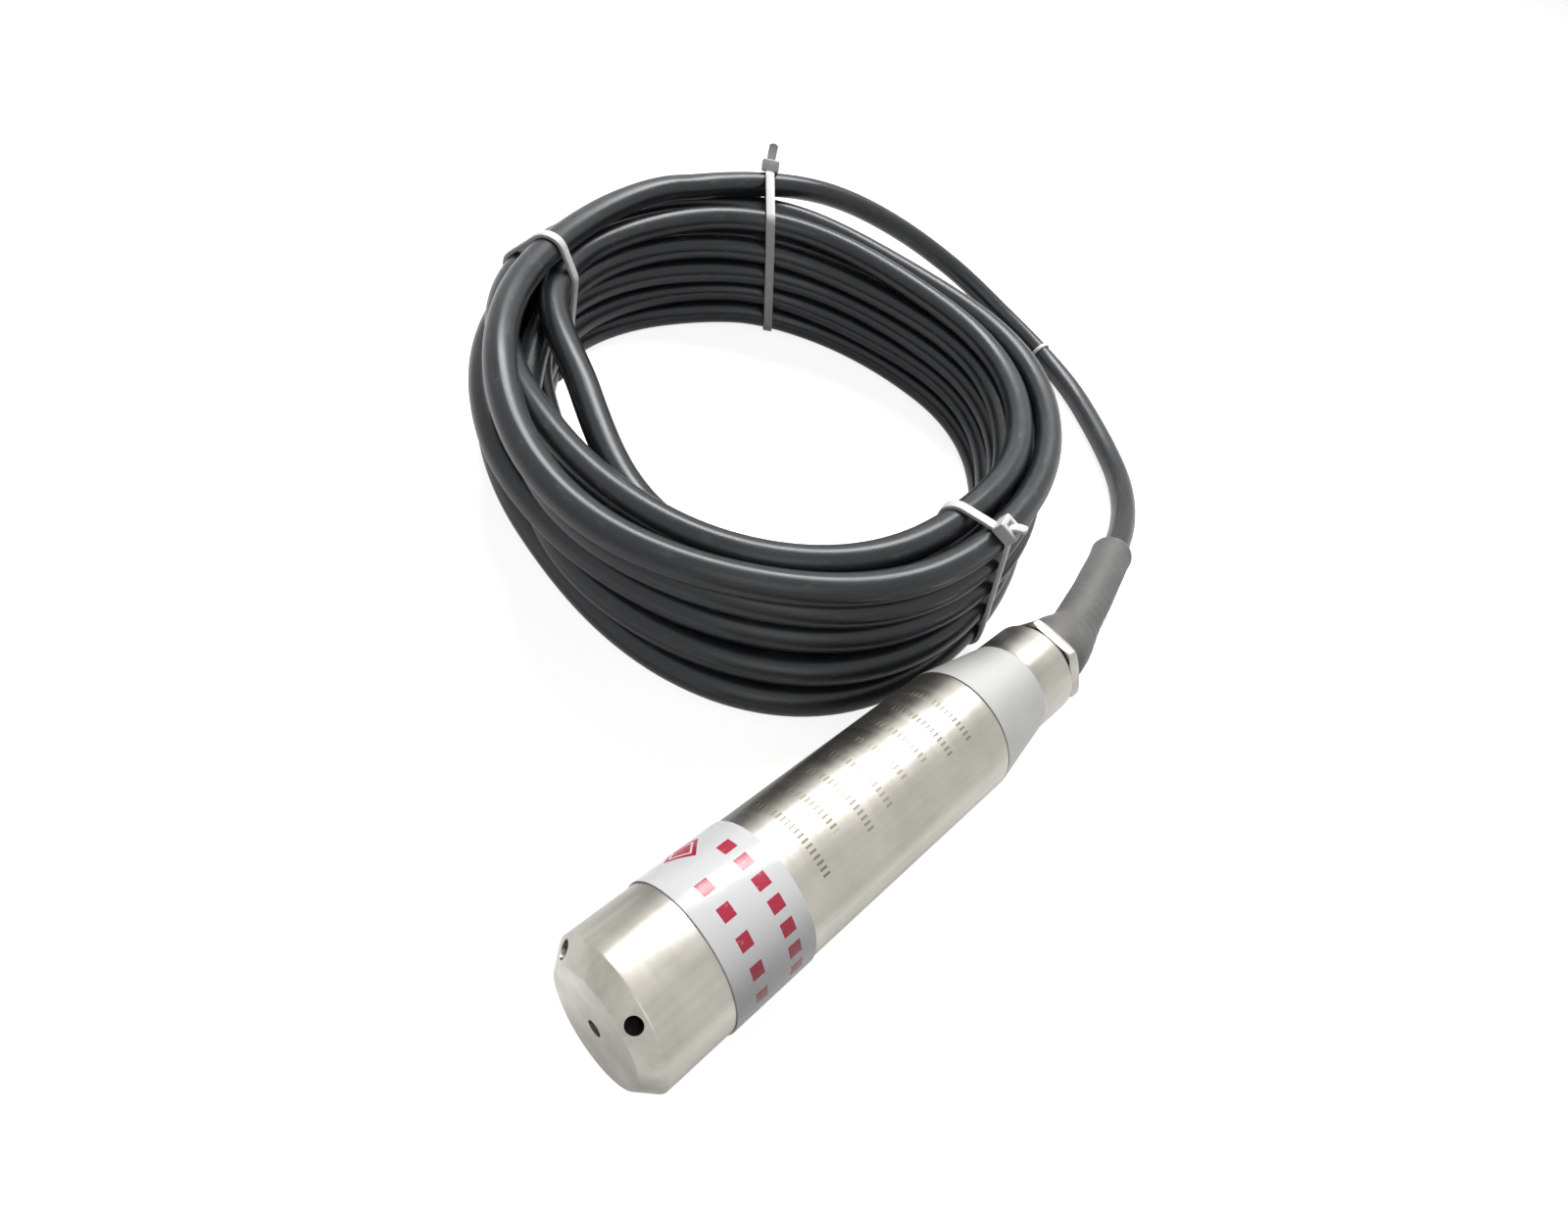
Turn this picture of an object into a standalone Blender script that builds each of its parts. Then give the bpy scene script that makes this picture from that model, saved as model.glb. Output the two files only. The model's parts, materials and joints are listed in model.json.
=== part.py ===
# Submersible level transmitter: a steel probe on its side and its coiled, vented cable.
# Metres, +Z up. The probe's axis lies along X with its nose towards -X, and the floor is z = 0.

import math

import bmesh
import bpy
from mathutils import Vector

MM = 0.001
GAP = 0.3 * MM  # between touching pieces
WELD = 0.005 * MM  # points closer than this are one

# Probe, outer form
PROBE_RADIUS = 14.0 * MM
NOSE_CHAMFER = 3.2 * MM
NOSE_WALL = 3.5 * MM
PORT_RADIUS = 1.5 * MM
CHAMFER_PORTS = 4
CHAMFER_PORT_ANGLE = math.radians(28)
CAP_LENGTH = 24.0 * MM
HOUSING_LENGTH = 63.7 * MM
HOUSING_WALL = 2.0 * MM
TAPER_LENGTH = 18.0 * MM
TAIL_RADIUS = 10.9 * MM
TAIL_LENGTH = 10.6 * MM

# Joint of cap and housing
SPIGOT_LENGTH = 11.0 * MM
SKIRT_WALL = 1.5 * MM
SPIGOT_WALL = 2.4 * MM
CAP_ORING_PLACE = 7.0 * MM

# Printed film round that joint
BAND_START = 16.0 * MM
BAND_WIDTH = 17.0 * MM
BAND_THICKNESS = 0.2 * MM
BAND_LIFT = 0.1 * MM

# Pressure sensor
SENSOR_LENGTH = 12.4 * MM
SENSOR_RIM = 1.6 * MM
SENSOR_RECESS = 0.9 * MM
DIAPHRAGM_THICKNESS = 0.35 * MM
DIAPHRAGM_WAVE = 0.15 * MM
DIAPHRAGM_WAVES = 2
RETAINER_LENGTH = 3.0 * MM
RETAINER_WALL = 2.9 * MM
SENSOR_ORING_PLACE = 6.0 * MM
SEAT_LENGTH = 2.0 * MM
SEAT_STEP = 1.6 * MM
SPANNER_SLOT = 1.8 * MM
PIN_CIRCLE = 4.4 * MM
PIN_RADIUS = 0.4 * MM
PIN_LENGTH = 3.6 * MM
REFERENCE_TUBE_RADIUS = 0.9 * MM
REFERENCE_TUBE_BORE = 0.45 * MM
REFERENCE_TUBE_LENGTH = 5.5 * MM
WIRE_RADIUS = 0.5 * MM
WIRE_STRAIGHT = 0.6 * MM
WIRE_LANDING = 3.0 * MM
WIRE_STEP = 1.2 * MM

# O-rings
ORING_RADIUS = 0.75 * MM
ORING_LIFT = 0.2 * MM
ORING_SIDES = 8
ORING_GROOVE_WIDTH = 2.1 * MM
ORING_GROOVE_DEPTH = 1.6 * MM

# Circuit board and what is on it
BOARD_INSET = 1.7 * MM
BOARD_THICKNESS = 1.2 * MM
BOARD_AHEAD = 4.2 * MM
BOARD_BEHIND = 4.5 * MM
HOLDER_LENGTH = 3.0 * MM
HOLDER_WALL = 3.5 * MM
HOLDER_INSET = 1.5 * MM
BOARD_PART_EDGE = 0.15 * MM

# Board parts: name, size (height, across, along), place across the board, place along it from its
# front edge, or from its rear edge where that is below 0, and finish
BOARD_PARTS = (
    ("amplifier_chip", (1.6, 4.0, 5.0), 1.0, 10.0, "chip_resin"),
    ("converter_chip", (1.5, 4.4, 6.6), 0.4, 17.0, "chip_resin"),
    ("zero_trimmer", (4.4, 6.0, 6.6), -5.4, 9.5, "trimmer_blue"),
    ("span_trimmer", (4.4, 6.0, 6.6), -5.4, -9.4, "trimmer_blue"),
    ("smoothing_capacitor", (2.9, 4.3, 7.3), 5.2, -8.6, "capacitor_resin"),
    ("surge_suppressor", (2.4, 3.6, 5.4), 6.2, 10.0, "chip_resin"),
)
TRIMMER_SLOT = (0.8, 3.6, 0.9)

# Tail fitting and cable gland
TAIL_SPIGOT_LENGTH = 10.0 * MM
TAIL_SPIGOT_WALL = 2.4 * MM
TAIL_ORING_PLACE = 5.0 * MM
TAIL_WEB = 2.7 * MM
GLAND_SEAT_RADIUS = 7.3 * MM
GLAND_SEAT_DEPTH = 10.9 * MM
BUSH_LENGTH = 5.0 * MM
THRUST_THICKNESS = 0.8 * MM
WASHER_THICKNESS = 1.0 * MM
WASHER_INSET = 0.9 * MM
NUT_THICKNESS = 6.8 * MM
NUT_COLLAR_LENGTH = 4.0 * MM
NUT_FLATS = 19.0 * MM
NUT_BEVEL = 0.9 * MM
NUT_ANGLE = math.radians(12)
CLAMP_LENGTH = 4.0 * MM
CLAMP_WALL = 2.1 * MM

# Cable
CABLE_RADIUS = 3.6 * MM
CABLE_TAIL = 5.0 * MM
CORE_RADIUS = 0.75 * MM
CORE_PITCH = 1.2 * MM
CORE_SPREAD = 2.6 * MM
CORE_LANDING = 3.6 * MM
VENT_TUBE_RADIUS = 0.6 * MM
VENT_TUBE_STOP = 4.0 * MM
LEAD_STRAIGHT = 5.0 * MM
SLEEVE_LENGTH = 49.0 * MM
SLEEVE_RADIUS = 5.4 * MM
SLEEVE_FLARE = 7.4 * MM
SLEEVE_FLARE_LENGTH = 11.0 * MM
SLEEVE_STEP = 3.5 * MM
CABLE_STEP = 9.0 * MM
MARKER_WIDTH = 1.4 * MM
MARKER_THICKNESS = 0.5 * MM
MARKER_PLACE = 158.0 * MM

# Coil
COIL_CENTRE = (60.0 * MM, 93.5 * MM)
COIL_INNER = 58.8 * MM
COIL_OUTER = 79.0 * MM
COIL_TOP = 36.8 * MM
COIL_CORNER = 5.0 * MM
COIL_CORNER_STEPS = 3
COIL_SIDES = 56

# Ties: the turn round the coil, if it holds the lead too, where its head is, its tail's length
TIE_WIDTH = 2.6 * MM
TIE_THICKNESS = 1.0 * MM
TIE_HEAD = (5.0 * MM, 4.4 * MM, 3.6 * MM)
TIE_TAIL_THICKNESS = 0.9 * MM
TIES = (
    ("cable_tie_left", math.radians(121), False, "side", 9.0 * MM),
    ("cable_tie_far", math.radians(56), True, "top", 8.0 * MM),
    ("cable_tie_near", math.radians(-91), False, "side", 12.0 * MM),
)
STRAP_READS = 32
STRAP_FLATNESS = 1e-10

# Round pieces are drawn with this many sides
SIDES = 40
SMALL_SIDES = 20
FINE_SIDES = 12
CURVE_READS = 24

# The lead's route from the gland to the coil, chosen by hand
LEAD_ROUTE = [
    (75.5, 1.4, 14.2),
    (89.0, 5.0, 13.4),
    (105.4, 9.6, 11.4),
    (120.8, 14.2, 9.2),
    (134.8, 20.8, 7.2),
    (147.0, 29.4, 5.5),
    (156.0, 38.6, 4.4),
    (165.2, 51.0, 3.9),
    (175.2, 68.0, 3.8),
    (180.6, 87.1, 5.0),
    (178.8, 106.4, 9.6),
    (171.7, 122.6, 16.8),
    (160.4, 134.8, 24.3),
    (149.2, 142.4, 30.2),
    (138.4, 148.6, 34.8),
    (127.6, 153.4, 38.2),
    (117.0, 157.2, 40.2),
    (106.0, 161.2, 40.8),
    (93.7, 164.6, 40.8),
    (80.5, 166.4, 40.8),
]

# Places along the probe's axis, measured from the nose face, and the radii that fit each other
cable_bore = CABLE_RADIUS + GAP
skirt_bore = PROBE_RADIUS - SKIRT_WALL
spigot_radius = skirt_bore - GAP
housing_start = CAP_LENGTH + GAP
housing_end = housing_start + HOUSING_LENGTH
housing_bore = PROBE_RADIUS - HOUSING_WALL
spigot_start = housing_start - SPIGOT_LENGTH
sensor_bore = spigot_radius - SPIGOT_WALL
sensor_radius = sensor_bore - GAP
retainer_start = spigot_start + GAP
sensor_start = retainer_start + RETAINER_LENGTH + GAP
sensor_end = sensor_start + SENSOR_LENGTH
seat_start = sensor_end + GAP
seat_end = seat_start + SEAT_LENGTH
board_start = seat_end + BOARD_AHEAD
tail_start = housing_end + GAP
tail_spigot_start = tail_start - TAIL_SPIGOT_LENGTH
tail_spigot_radius = housing_bore - GAP
board_end = tail_spigot_start - BOARD_BEHIND
board_length = board_end - board_start
board_top = BOARD_THICKNESS / 2 + GAP
holder_radius = housing_bore - GAP
board_width = 2 * (holder_radius - BOARD_INSET)
taper_end = tail_start + TAPER_LENGTH
tail_end = taper_end + TAIL_LENGTH
gland_seat_start = tail_end - GLAND_SEAT_DEPTH
web_start = gland_seat_start - TAIL_WEB
gland_radius = GLAND_SEAT_RADIUS - GAP
bush_start = gland_seat_start + GAP
thrust_start = bush_start + BUSH_LENGTH + GAP
nut_spigot_start = thrust_start + THRUST_THICKNESS + GAP
washer_start = tail_end + GAP
nut_start = washer_start + WASHER_THICKNESS + GAP
nut_end = nut_start + NUT_THICKNESS
clamp_end = web_start - GAP
cable_start = clamp_end - CLAMP_LENGTH - CABLE_TAIL
axis_height = PROBE_RADIUS + BAND_LIFT + BAND_THICKNESS
coil_bottom = TIE_THICKNESS + GAP


def new_collection(name):
    collection = bpy.data.collections.new(name)
    bpy.context.scene.collection.children.link(collection)
    return collection


for leftover in list(bpy.data.objects):
    bpy.data.objects.remove(leftover, do_unlink=True)
parts = new_collection("level_transmitter")
cutters = new_collection("cutters")


def material(name, colour, roughness, metallic=0.0):
    made = bpy.data.materials.new(name)
    made.use_nodes = True
    shader = made.node_tree.nodes["Principled BSDF"]
    shader.inputs["Base Color"].default_value = (*colour, 1.0)
    shader.inputs["Roughness"].default_value = roughness
    shader.inputs["Metallic"].default_value = metallic
    return made


finishes = {
    "turned_steel": material("turned_steel", (0.62, 0.60, 0.56), 0.28, 1.0),
    "frosted_steel": material("frosted_steel", (0.58, 0.57, 0.54), 0.5, 1.0),
    "sensor_steel": material("sensor_steel", (0.55, 0.55, 0.55), 0.35, 1.0),
    "gilt_pins": material("gilt_pins", (0.83, 0.62, 0.25), 0.3, 1.0),
    "brass": material("brass", (0.72, 0.53, 0.25), 0.35, 1.0),
    "printed_film": material("printed_film", (0.86, 0.86, 0.85), 0.3),
    "black_rubber": material("black_rubber", (0.02, 0.02, 0.02), 0.6),
    "cable_jacket": material("cable_jacket", (0.028, 0.032, 0.034), 0.4),
    "shrink_sleeve": material("shrink_sleeve", (0.14, 0.14, 0.135), 0.55),
    "white_nylon": material("white_nylon", (0.82, 0.82, 0.79), 0.4),
    "board_laminate": material("board_laminate", (0.03, 0.18, 0.09), 0.45),
    "chip_resin": material("chip_resin", (0.03, 0.03, 0.035), 0.5),
    "trimmer_blue": material("trimmer_blue", (0.05, 0.16, 0.45), 0.4),
    "capacitor_resin": material("capacitor_resin", (0.75, 0.5, 0.08), 0.4),
    "holder_plastic": material("holder_plastic", (0.75, 0.73, 0.66), 0.5),
    "vent_tube_plastic": material("vent_tube_plastic", (0.8, 0.82, 0.84), 0.3),
    "wire_red": material("wire_red", (0.6, 0.03, 0.03), 0.45),
    "wire_black": material("wire_black", (0.02, 0.02, 0.02), 0.45),
    "wire_yellow": material("wire_yellow", (0.75, 0.6, 0.05), 0.45),
    "wire_blue": material("wire_blue", (0.04, 0.12, 0.5), 0.45),
}


def frame_empty(name, place, rotation=(0, 0, 0), parent=None):
    empty = bpy.data.objects.new(name, None)
    empty.location = place
    empty.rotation_euler = rotation
    empty.parent = parent
    parts.objects.link(empty)
    return empty


# Local Z runs back along the probe's axis from the nose face, and local X points up
probe_axis = frame_empty("probe_axis", (-nut_end / 2, 0, axis_height), (math.pi, -math.pi / 2, 0))
coil_axis = frame_empty("coil_axis", (*COIL_CENTRE, 0))


def add_piece(name, mesh, finish, parent=None):
    """Links a piece, or a cutter where it has no finish."""
    obj = bpy.data.objects.new(name, mesh)
    obj.parent = parent
    mesh.materials.clear()
    if finish:
        parts.objects.link(obj)
        mesh.materials.append(finishes[finish])
    else:
        cutters.objects.link(obj)
        obj.hide_render = True
        obj.display_type = "WIRE"
    return obj


def turned(name, profile, finish, parent, closed=True, sides=SIDES):
    """A piece turned about its parent's local Z. Its profile of (place, radius) runs down the
    outer side and back along the inside. One whose ends lie on the axis is not closed."""
    mesh = bpy.data.meshes.new(name)
    edges = [(i, i + 1) for i in range(len(profile) - 1)]
    if closed:
        edges.append((len(profile) - 1, 0))
    mesh.from_pydata([(radius, 0, place) for place, radius in profile], edges, [])
    obj = add_piece(name, mesh, finish, parent)
    screw = obj.modifiers.new("turn", "SCREW")
    screw.steps = screw.render_steps = sides
    screw.use_merge_vertices = True
    screw.merge_threshold = WELD
    return obj


def hollow_turned(name, start, end, outer, inner, finish, sides=SIDES):
    """A plain ring or bush between two places."""
    profile = [(end, outer), (start, outer), (start, inner), (end, inner)]
    return turned(name, profile, finish, probe_axis, sides=sides)


def groove(middle, radius):
    """Profile points, back to front, of an O-ring's groove in a surface of this radius."""
    floor = radius - ORING_GROOVE_DEPTH
    back, front = middle + ORING_GROOVE_WIDTH / 2, middle - ORING_GROOVE_WIDTH / 2
    return [(back, radius), (back, floor), (front, floor), (front, radius)]


def oring(name, middle, radius):
    """A rubber ring in the groove of a surface of this radius."""
    ring_radius = radius - ORING_GROOVE_DEPTH + ORING_LIFT + ORING_RADIUS
    profile = []
    for i in range(ORING_SIDES):
        angle = 2 * math.pi * i / ORING_SIDES
        across, out = ORING_RADIUS * math.sin(angle), ORING_RADIUS * math.cos(angle)
        profile.append((middle - across, ring_radius + out))
    return turned(name, profile, "black_rubber", probe_axis, sides=SMALL_SIDES)


def cylinder(name, radius, depth, place, rotation, finish=None, sides=FINE_SIDES):
    bpy.ops.mesh.primitive_cylinder_add(vertices=sides, radius=radius, depth=depth)
    made = bpy.context.object
    obj = add_piece(name, made.data, finish, probe_axis)
    bpy.data.objects.remove(made)
    obj.location = place
    obj.rotation_euler = rotation
    return obj


def box(name, size, place, finish, parent=probe_axis, bevel=0.0):
    bpy.ops.mesh.primitive_cube_add(size=1.0)
    made = bpy.context.object
    obj = add_piece(name, made.data, finish, parent)
    bpy.data.objects.remove(made)
    for vertex in obj.data.vertices:
        vertex.co = [c * s for c, s in zip(vertex.co, size)]
    obj.location = place
    if bevel:
        edge = obj.modifiers.new("edge", "BEVEL")
        edge.width = bevel
        edge.segments = 1
    return obj


def combine(target, other, operation="DIFFERENCE"):
    modifier = target.modifiers.new(other.name, "BOOLEAN")
    modifier.operation = operation
    modifier.object = other


def smooth_curve(points):
    """Many places on one smooth curve through the given points."""
    knots = [Vector(point) for point in points]
    knots = [2 * knots[0] - knots[1], *knots, 2 * knots[-1] - knots[-2]]
    places = []
    for a, b, c, d in zip(knots, knots[1:], knots[2:], knots[3:]):
        for i in range(CURVE_READS):
            t = i / CURVE_READS
            bend = (2 * a - 5 * b + 4 * c - d) * t**2 + (3 * b - a - 3 * c + d) * t**3
            places.append(b + (c - a) * t / 2 + bend / 2)
    return [*places, knots[-2]]


def read_route(curve, start, end, step):
    """Places about a step apart along the curve, from one length along it to another."""
    lengths = [0.0]
    for a, b in zip(curve, curve[1:]):
        lengths.append(lengths[-1] + (b - a).length)
    end = lengths[-1] if end is None else end
    count = max(1, round((end - start) / step))
    route, k = [], 0
    for i in range(count + 1):
        wanted = start + (end - start) * i / count
        while k < len(curve) - 2 and lengths[k + 1] < wanted:
            k += 1
        part = (wanted - lengths[k]) / (lengths[k + 1] - lengths[k])
        route.append(curve[k].lerp(curve[k + 1], min(part, 1.0)))
    return route


def welded_mesh(curve, name):
    """The mesh of a curve object, with its loose caps welded. The curve object is removed."""
    guide = bpy.data.objects.new(name, curve)
    cutters.objects.link(guide)
    graph = bpy.context.evaluated_depsgraph_get()
    mesh = bpy.data.meshes.new_from_object(guide.evaluated_get(graph))
    bpy.data.objects.remove(guide)
    shell = bmesh.new()
    shell.from_mesh(mesh)
    bmesh.ops.remove_doubles(shell, verts=shell.verts, dist=WELD)
    shell.to_mesh(mesh)
    shell.free()
    return mesh


def bar(name, route, radius, finish, parent=None, resolution=2, swell=None):
    """A round bar along a route. swell holds each point's share of the radius."""
    curve = bpy.data.curves.new(name, "CURVE")
    curve.dimensions = "3D"
    curve.bevel_depth = radius
    curve.bevel_resolution = resolution
    curve.use_fill_caps = True
    spline = curve.splines.new("POLY")
    spline.points.add(len(route) - 1)
    for i, place in enumerate(route):
        spline.points[i].co = (*place, 1.0)
        spline.points[i].radius = swell[i] if swell else 1.0
    return add_piece(name, welded_mesh(curve, name), finish, parent)


def make_nose_cap():
    profile = [
        (NOSE_WALL, 0),
        (NOSE_WALL, sensor_radius),
        (spigot_start - GAP, sensor_radius),
        (spigot_start - GAP, skirt_bore),
        (CAP_LENGTH, skirt_bore),
        (CAP_LENGTH, PROBE_RADIUS),
        (NOSE_CHAMFER, PROBE_RADIUS),
        (0, PROBE_RADIUS - NOSE_CHAMFER),
        (0, 0),
    ]
    cap = turned("nose_cap", profile, "turned_steel", probe_axis, closed=False)
    depth = 3 * NOSE_WALL
    combine(cap, cylinder("nose_port", PORT_RADIUS, depth, (0, 0, 0), (0, 0, 0)))
    reach = PROBE_RADIUS - NOSE_CHAMFER / 2
    for i in range(CHAMFER_PORTS):
        turn = CHAMFER_PORT_ANGLE + 2 * math.pi * i / CHAMFER_PORTS
        place = (reach * math.cos(turn), reach * math.sin(turn), NOSE_CHAMFER / 2)
        rotation = (0, -math.pi / 4, turn)
        combine(cap, cylinder(f"chamfer_port_{i + 1}", PORT_RADIUS, depth, place, rotation))


def make_housing():
    seat_radius = sensor_bore - SEAT_STEP
    profile = [
        (housing_end, PROBE_RADIUS),
        (housing_start, PROBE_RADIUS),
        (housing_start, spigot_radius),
        *groove(spigot_start + CAP_ORING_PLACE, spigot_radius),
        (spigot_start, spigot_radius),
        (spigot_start, sensor_bore),
        (seat_start, sensor_bore),
        (seat_start, seat_radius),
        (seat_end, seat_radius),
        (seat_end, housing_bore),
        (housing_end, housing_bore),
    ]
    turned("housing_tube", profile, "turned_steel", probe_axis)
    oring("cap_oring", spigot_start + CAP_ORING_PLACE, spigot_radius)


def make_seal_band():
    inner = PROBE_RADIUS + BAND_LIFT
    outer = inner + BAND_THICKNESS
    hollow_turned("seal_band", BAND_START, BAND_START + BAND_WIDTH, outer, inner, "printed_film")


def make_sensor():
    rim = sensor_radius - SENSOR_RIM
    floor = sensor_start + SENSOR_RECESS
    profile = [
        (sensor_end, 0),
        (sensor_end, sensor_radius),
        *groove(sensor_start + SENSOR_ORING_PLACE, sensor_radius),
        (sensor_start, sensor_radius),
        (sensor_start, rim),
        (floor, rim),
        (floor, 0),
    ]
    turned("sensor_body", profile, "sensor_steel", probe_axis, closed=False)
    oring("sensor_oring", sensor_start + SENSOR_ORING_PLACE, sensor_radius)
    edge = rim - GAP
    back = floor - GAP - DIAPHRAGM_WAVE
    reads = [i / (4 * DIAPHRAGM_WAVES) for i in range(4 * DIAPHRAGM_WAVES + 1)]
    wave = [(back + DIAPHRAGM_WAVE * math.sin(2 * math.pi * DIAPHRAGM_WAVES * s), edge * s) for s in reads]
    front = [(place - DIAPHRAGM_THICKNESS, radius) for place, radius in reversed(wave)]
    turned("sensor_diaphragm", wave + front, "sensor_steel", probe_axis, closed=False, sides=SMALL_SIDES)


def make_retaining_ring():
    end = retainer_start + RETAINER_LENGTH
    inner = sensor_radius - RETAINER_WALL
    ring = hollow_turned("sensor_retaining_ring", retainer_start, end, sensor_radius, inner, "turned_steel")
    slot = (SPANNER_SLOT, 3 * sensor_radius, RETAINER_LENGTH)
    combine(ring, box("spanner_slot", slot, (0, 0, retainer_start), None))


def make_header():
    pin_start = sensor_end + GAP
    wire_start = pin_start + PIN_LENGTH + GAP
    for i, colour in enumerate(("red", "black", "yellow", "blue")):
        turn = math.pi / 4 + 2 * math.pi * i / 4
        x, y = PIN_CIRCLE * math.cos(turn), PIN_CIRCLE * math.sin(turn)
        place = (x, y, pin_start + PIN_LENGTH / 2)
        cylinder(f"header_pin_{i + 1}", PIN_RADIUS, PIN_LENGTH, place, (0, 0, 0), "gilt_pins")
        landing = math.copysign(board_top + WIRE_RADIUS, x)
        route = [
            (x, y, wire_start),
            (x, y, wire_start + WIRE_STRAIGHT),
            (landing, y, board_start + WIRE_STRAIGHT),
            (landing, y, board_start + WIRE_LANDING),
        ]
        wire = read_route(smooth_curve(route), 0, None, WIRE_STEP)
        bar(f"sensor_wire_{i + 1}", wire, WIRE_RADIUS, f"wire_{colour}", probe_axis)
    tube_end = pin_start + REFERENCE_TUBE_LENGTH
    outer, inner = REFERENCE_TUBE_RADIUS, REFERENCE_TUBE_BORE
    hollow_turned("reference_tube", pin_start, tube_end, outer, inner, "sensor_steel", FINE_SIDES)


def make_board():
    middle = board_start + board_length / 2
    box("circuit_board", (BOARD_THICKNESS, board_width, board_length), (0, 0, middle), "board_laminate")
    notch_size = (BOARD_THICKNESS + 2 * GAP, board_width + 2 * GAP, 2 * board_length)
    notch = box("board_notch", notch_size, (0, 0, middle), None)
    starts = (board_start + HOLDER_INSET, board_end - HOLDER_INSET - HOLDER_LENGTH)
    inner = holder_radius - HOLDER_WALL
    for name, start in zip(("board_holder_front", "board_holder_rear"), starts):
        end = start + HOLDER_LENGTH
        holder = hollow_turned(name, start, end, holder_radius, inner, "holder_plastic")
        combine(holder, notch)
    for name, size, across, along, finish in BOARD_PARTS:
        size = [side * MM for side in size]
        along = along * MM + (board_start if along > 0 else board_end)
        part = box(name, size, (board_top + size[0] / 2, across * MM, along), finish, bevel=BOARD_PART_EDGE)
        if "trimmer" in name:
            slot_place = (board_top + size[0], across * MM, along)
            slot_size = [side * MM for side in TRIMMER_SLOT]
            combine(part, box(f"{name}_slot", slot_size, slot_place, None))


def make_tail_fitting():
    chamber = tail_spigot_radius - TAIL_SPIGOT_WALL
    profile = [
        (tail_end, TAIL_RADIUS),
        (taper_end, TAIL_RADIUS),
        (tail_start, PROBE_RADIUS),
        (tail_start, tail_spigot_radius),
        *groove(tail_spigot_start + TAIL_ORING_PLACE, tail_spigot_radius),
        (tail_spigot_start, tail_spigot_radius),
        (tail_spigot_start, chamber),
        (web_start, chamber),
        (web_start, cable_bore),
        (gland_seat_start, cable_bore),
        (gland_seat_start, GLAND_SEAT_RADIUS),
        (tail_end, GLAND_SEAT_RADIUS),
    ]
    turned("tail_fitting", profile, "frosted_steel", probe_axis)
    oring("tail_oring", tail_spigot_start + TAIL_ORING_PLACE, tail_spigot_radius)


def make_gland():
    bush_end = bush_start + BUSH_LENGTH
    thrust_end = thrust_start + THRUST_THICKNESS
    washer_end = washer_start + WASHER_THICKNESS
    washer_outer = TAIL_RADIUS - WASHER_INSET
    washer_bore = gland_radius + GAP
    clamp_start = clamp_end - CLAMP_LENGTH
    clamp_radius = cable_bore + CLAMP_WALL
    hollow_turned("gland_bush", bush_start, bush_end, gland_radius, cable_bore, "black_rubber", SMALL_SIDES)
    hollow_turned("thrust_washer", thrust_start, thrust_end, gland_radius, cable_bore, "brass", SMALL_SIDES)
    hollow_turned("gland_washer", washer_start, washer_end, washer_outer, washer_bore, "black_rubber")
    hollow_turned("cable_pull_clamp", clamp_start, clamp_end, clamp_radius, cable_bore, "brass", SMALL_SIDES)


def make_gland_nut():
    """A hexagon with turned corners, the collar that meets the sleeve, its spigot and its bore."""
    corner = NUT_FLATS / 2 / math.cos(math.pi / 6)
    collar_start = nut_end - NUT_COLLAR_LENGTH
    profile = [
        (nut_end, 0),
        (nut_end, SLEEVE_FLARE),
        (collar_start, SLEEVE_FLARE),
        (collar_start, corner - NUT_BEVEL),
        (collar_start - NUT_BEVEL / 2, corner),
        (nut_start + NUT_BEVEL / 2, corner),
        (nut_start, corner - NUT_BEVEL),
        (nut_start, gland_radius),
        (nut_spigot_start, gland_radius),
        (nut_spigot_start, 0),
    ]
    nut = turned("gland_nut", profile, "turned_steel", probe_axis, closed=False)
    middle = (0, 0, (nut_start + nut_end) / 2)
    length = 2 * (nut_end - nut_spigot_start)
    hexagon = cylinder("nut_hexagon", corner, length, middle, (0, 0, NUT_ANGLE), sides=6)
    combine(nut, hexagon, "INTERSECT")
    combine(nut, cylinder("nut_bore", cable_bore, length, middle, (0, 0, 0), sides=SMALL_SIDES))


def cable_curve():
    """The cable's centre line outside the probe, in the world."""
    leave = nut_end / 2 + GAP
    start = [(leave, 0, axis_height), (leave + LEAD_STRAIGHT, 0, axis_height)]
    return smooth_curve(start + [[c * MM for c in place] for place in LEAD_ROUTE])


def make_cable():
    curve = cable_curve()
    inside = Vector((cable_start - nut_end / 2, 0, axis_height))
    sleeved = read_route(curve, 0, SLEEVE_LENGTH, SLEEVE_STEP)
    free = read_route(curve, SLEEVE_LENGTH, None, CABLE_STEP)
    bar("cable_lead", [inside, *sleeved, *free[1:]], CABLE_RADIUS, "cable_jacket")
    swell = []
    for i in range(len(sleeved)):
        part = min(1.0, i * SLEEVE_LENGTH / (len(sleeved) - 1) / SLEEVE_FLARE_LENGTH)
        radius = SLEEVE_FLARE + (SLEEVE_RADIUS - SLEEVE_FLARE) * part**0.5
        swell.append(radius / SLEEVE_RADIUS)
    sleeve = bar("shrink_sleeve", sleeved, SLEEVE_RADIUS, "shrink_sleeve", resolution=4, swell=swell)
    before = sleeved[0] + (sleeved[0] - sleeved[1]) / 4
    after = sleeved[-1] + (sleeved[-1] - sleeved[-2]) / 4
    combine(sleeve, bar("sleeve_bore", [before, *sleeved, after], cable_bore, None, resolution=4))
    place, beyond = read_route(curve, MARKER_PLACE, MARKER_PLACE + MARKER_WIDTH, MARKER_WIDTH)
    along = beyond - place
    marker = bar("cable_marker", [place, beyond], cable_bore + MARKER_THICKNESS, "white_nylon", resolution=4)
    combine(marker, bar("marker_bore", [place - along, beyond + along], cable_bore, None, resolution=4))


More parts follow.
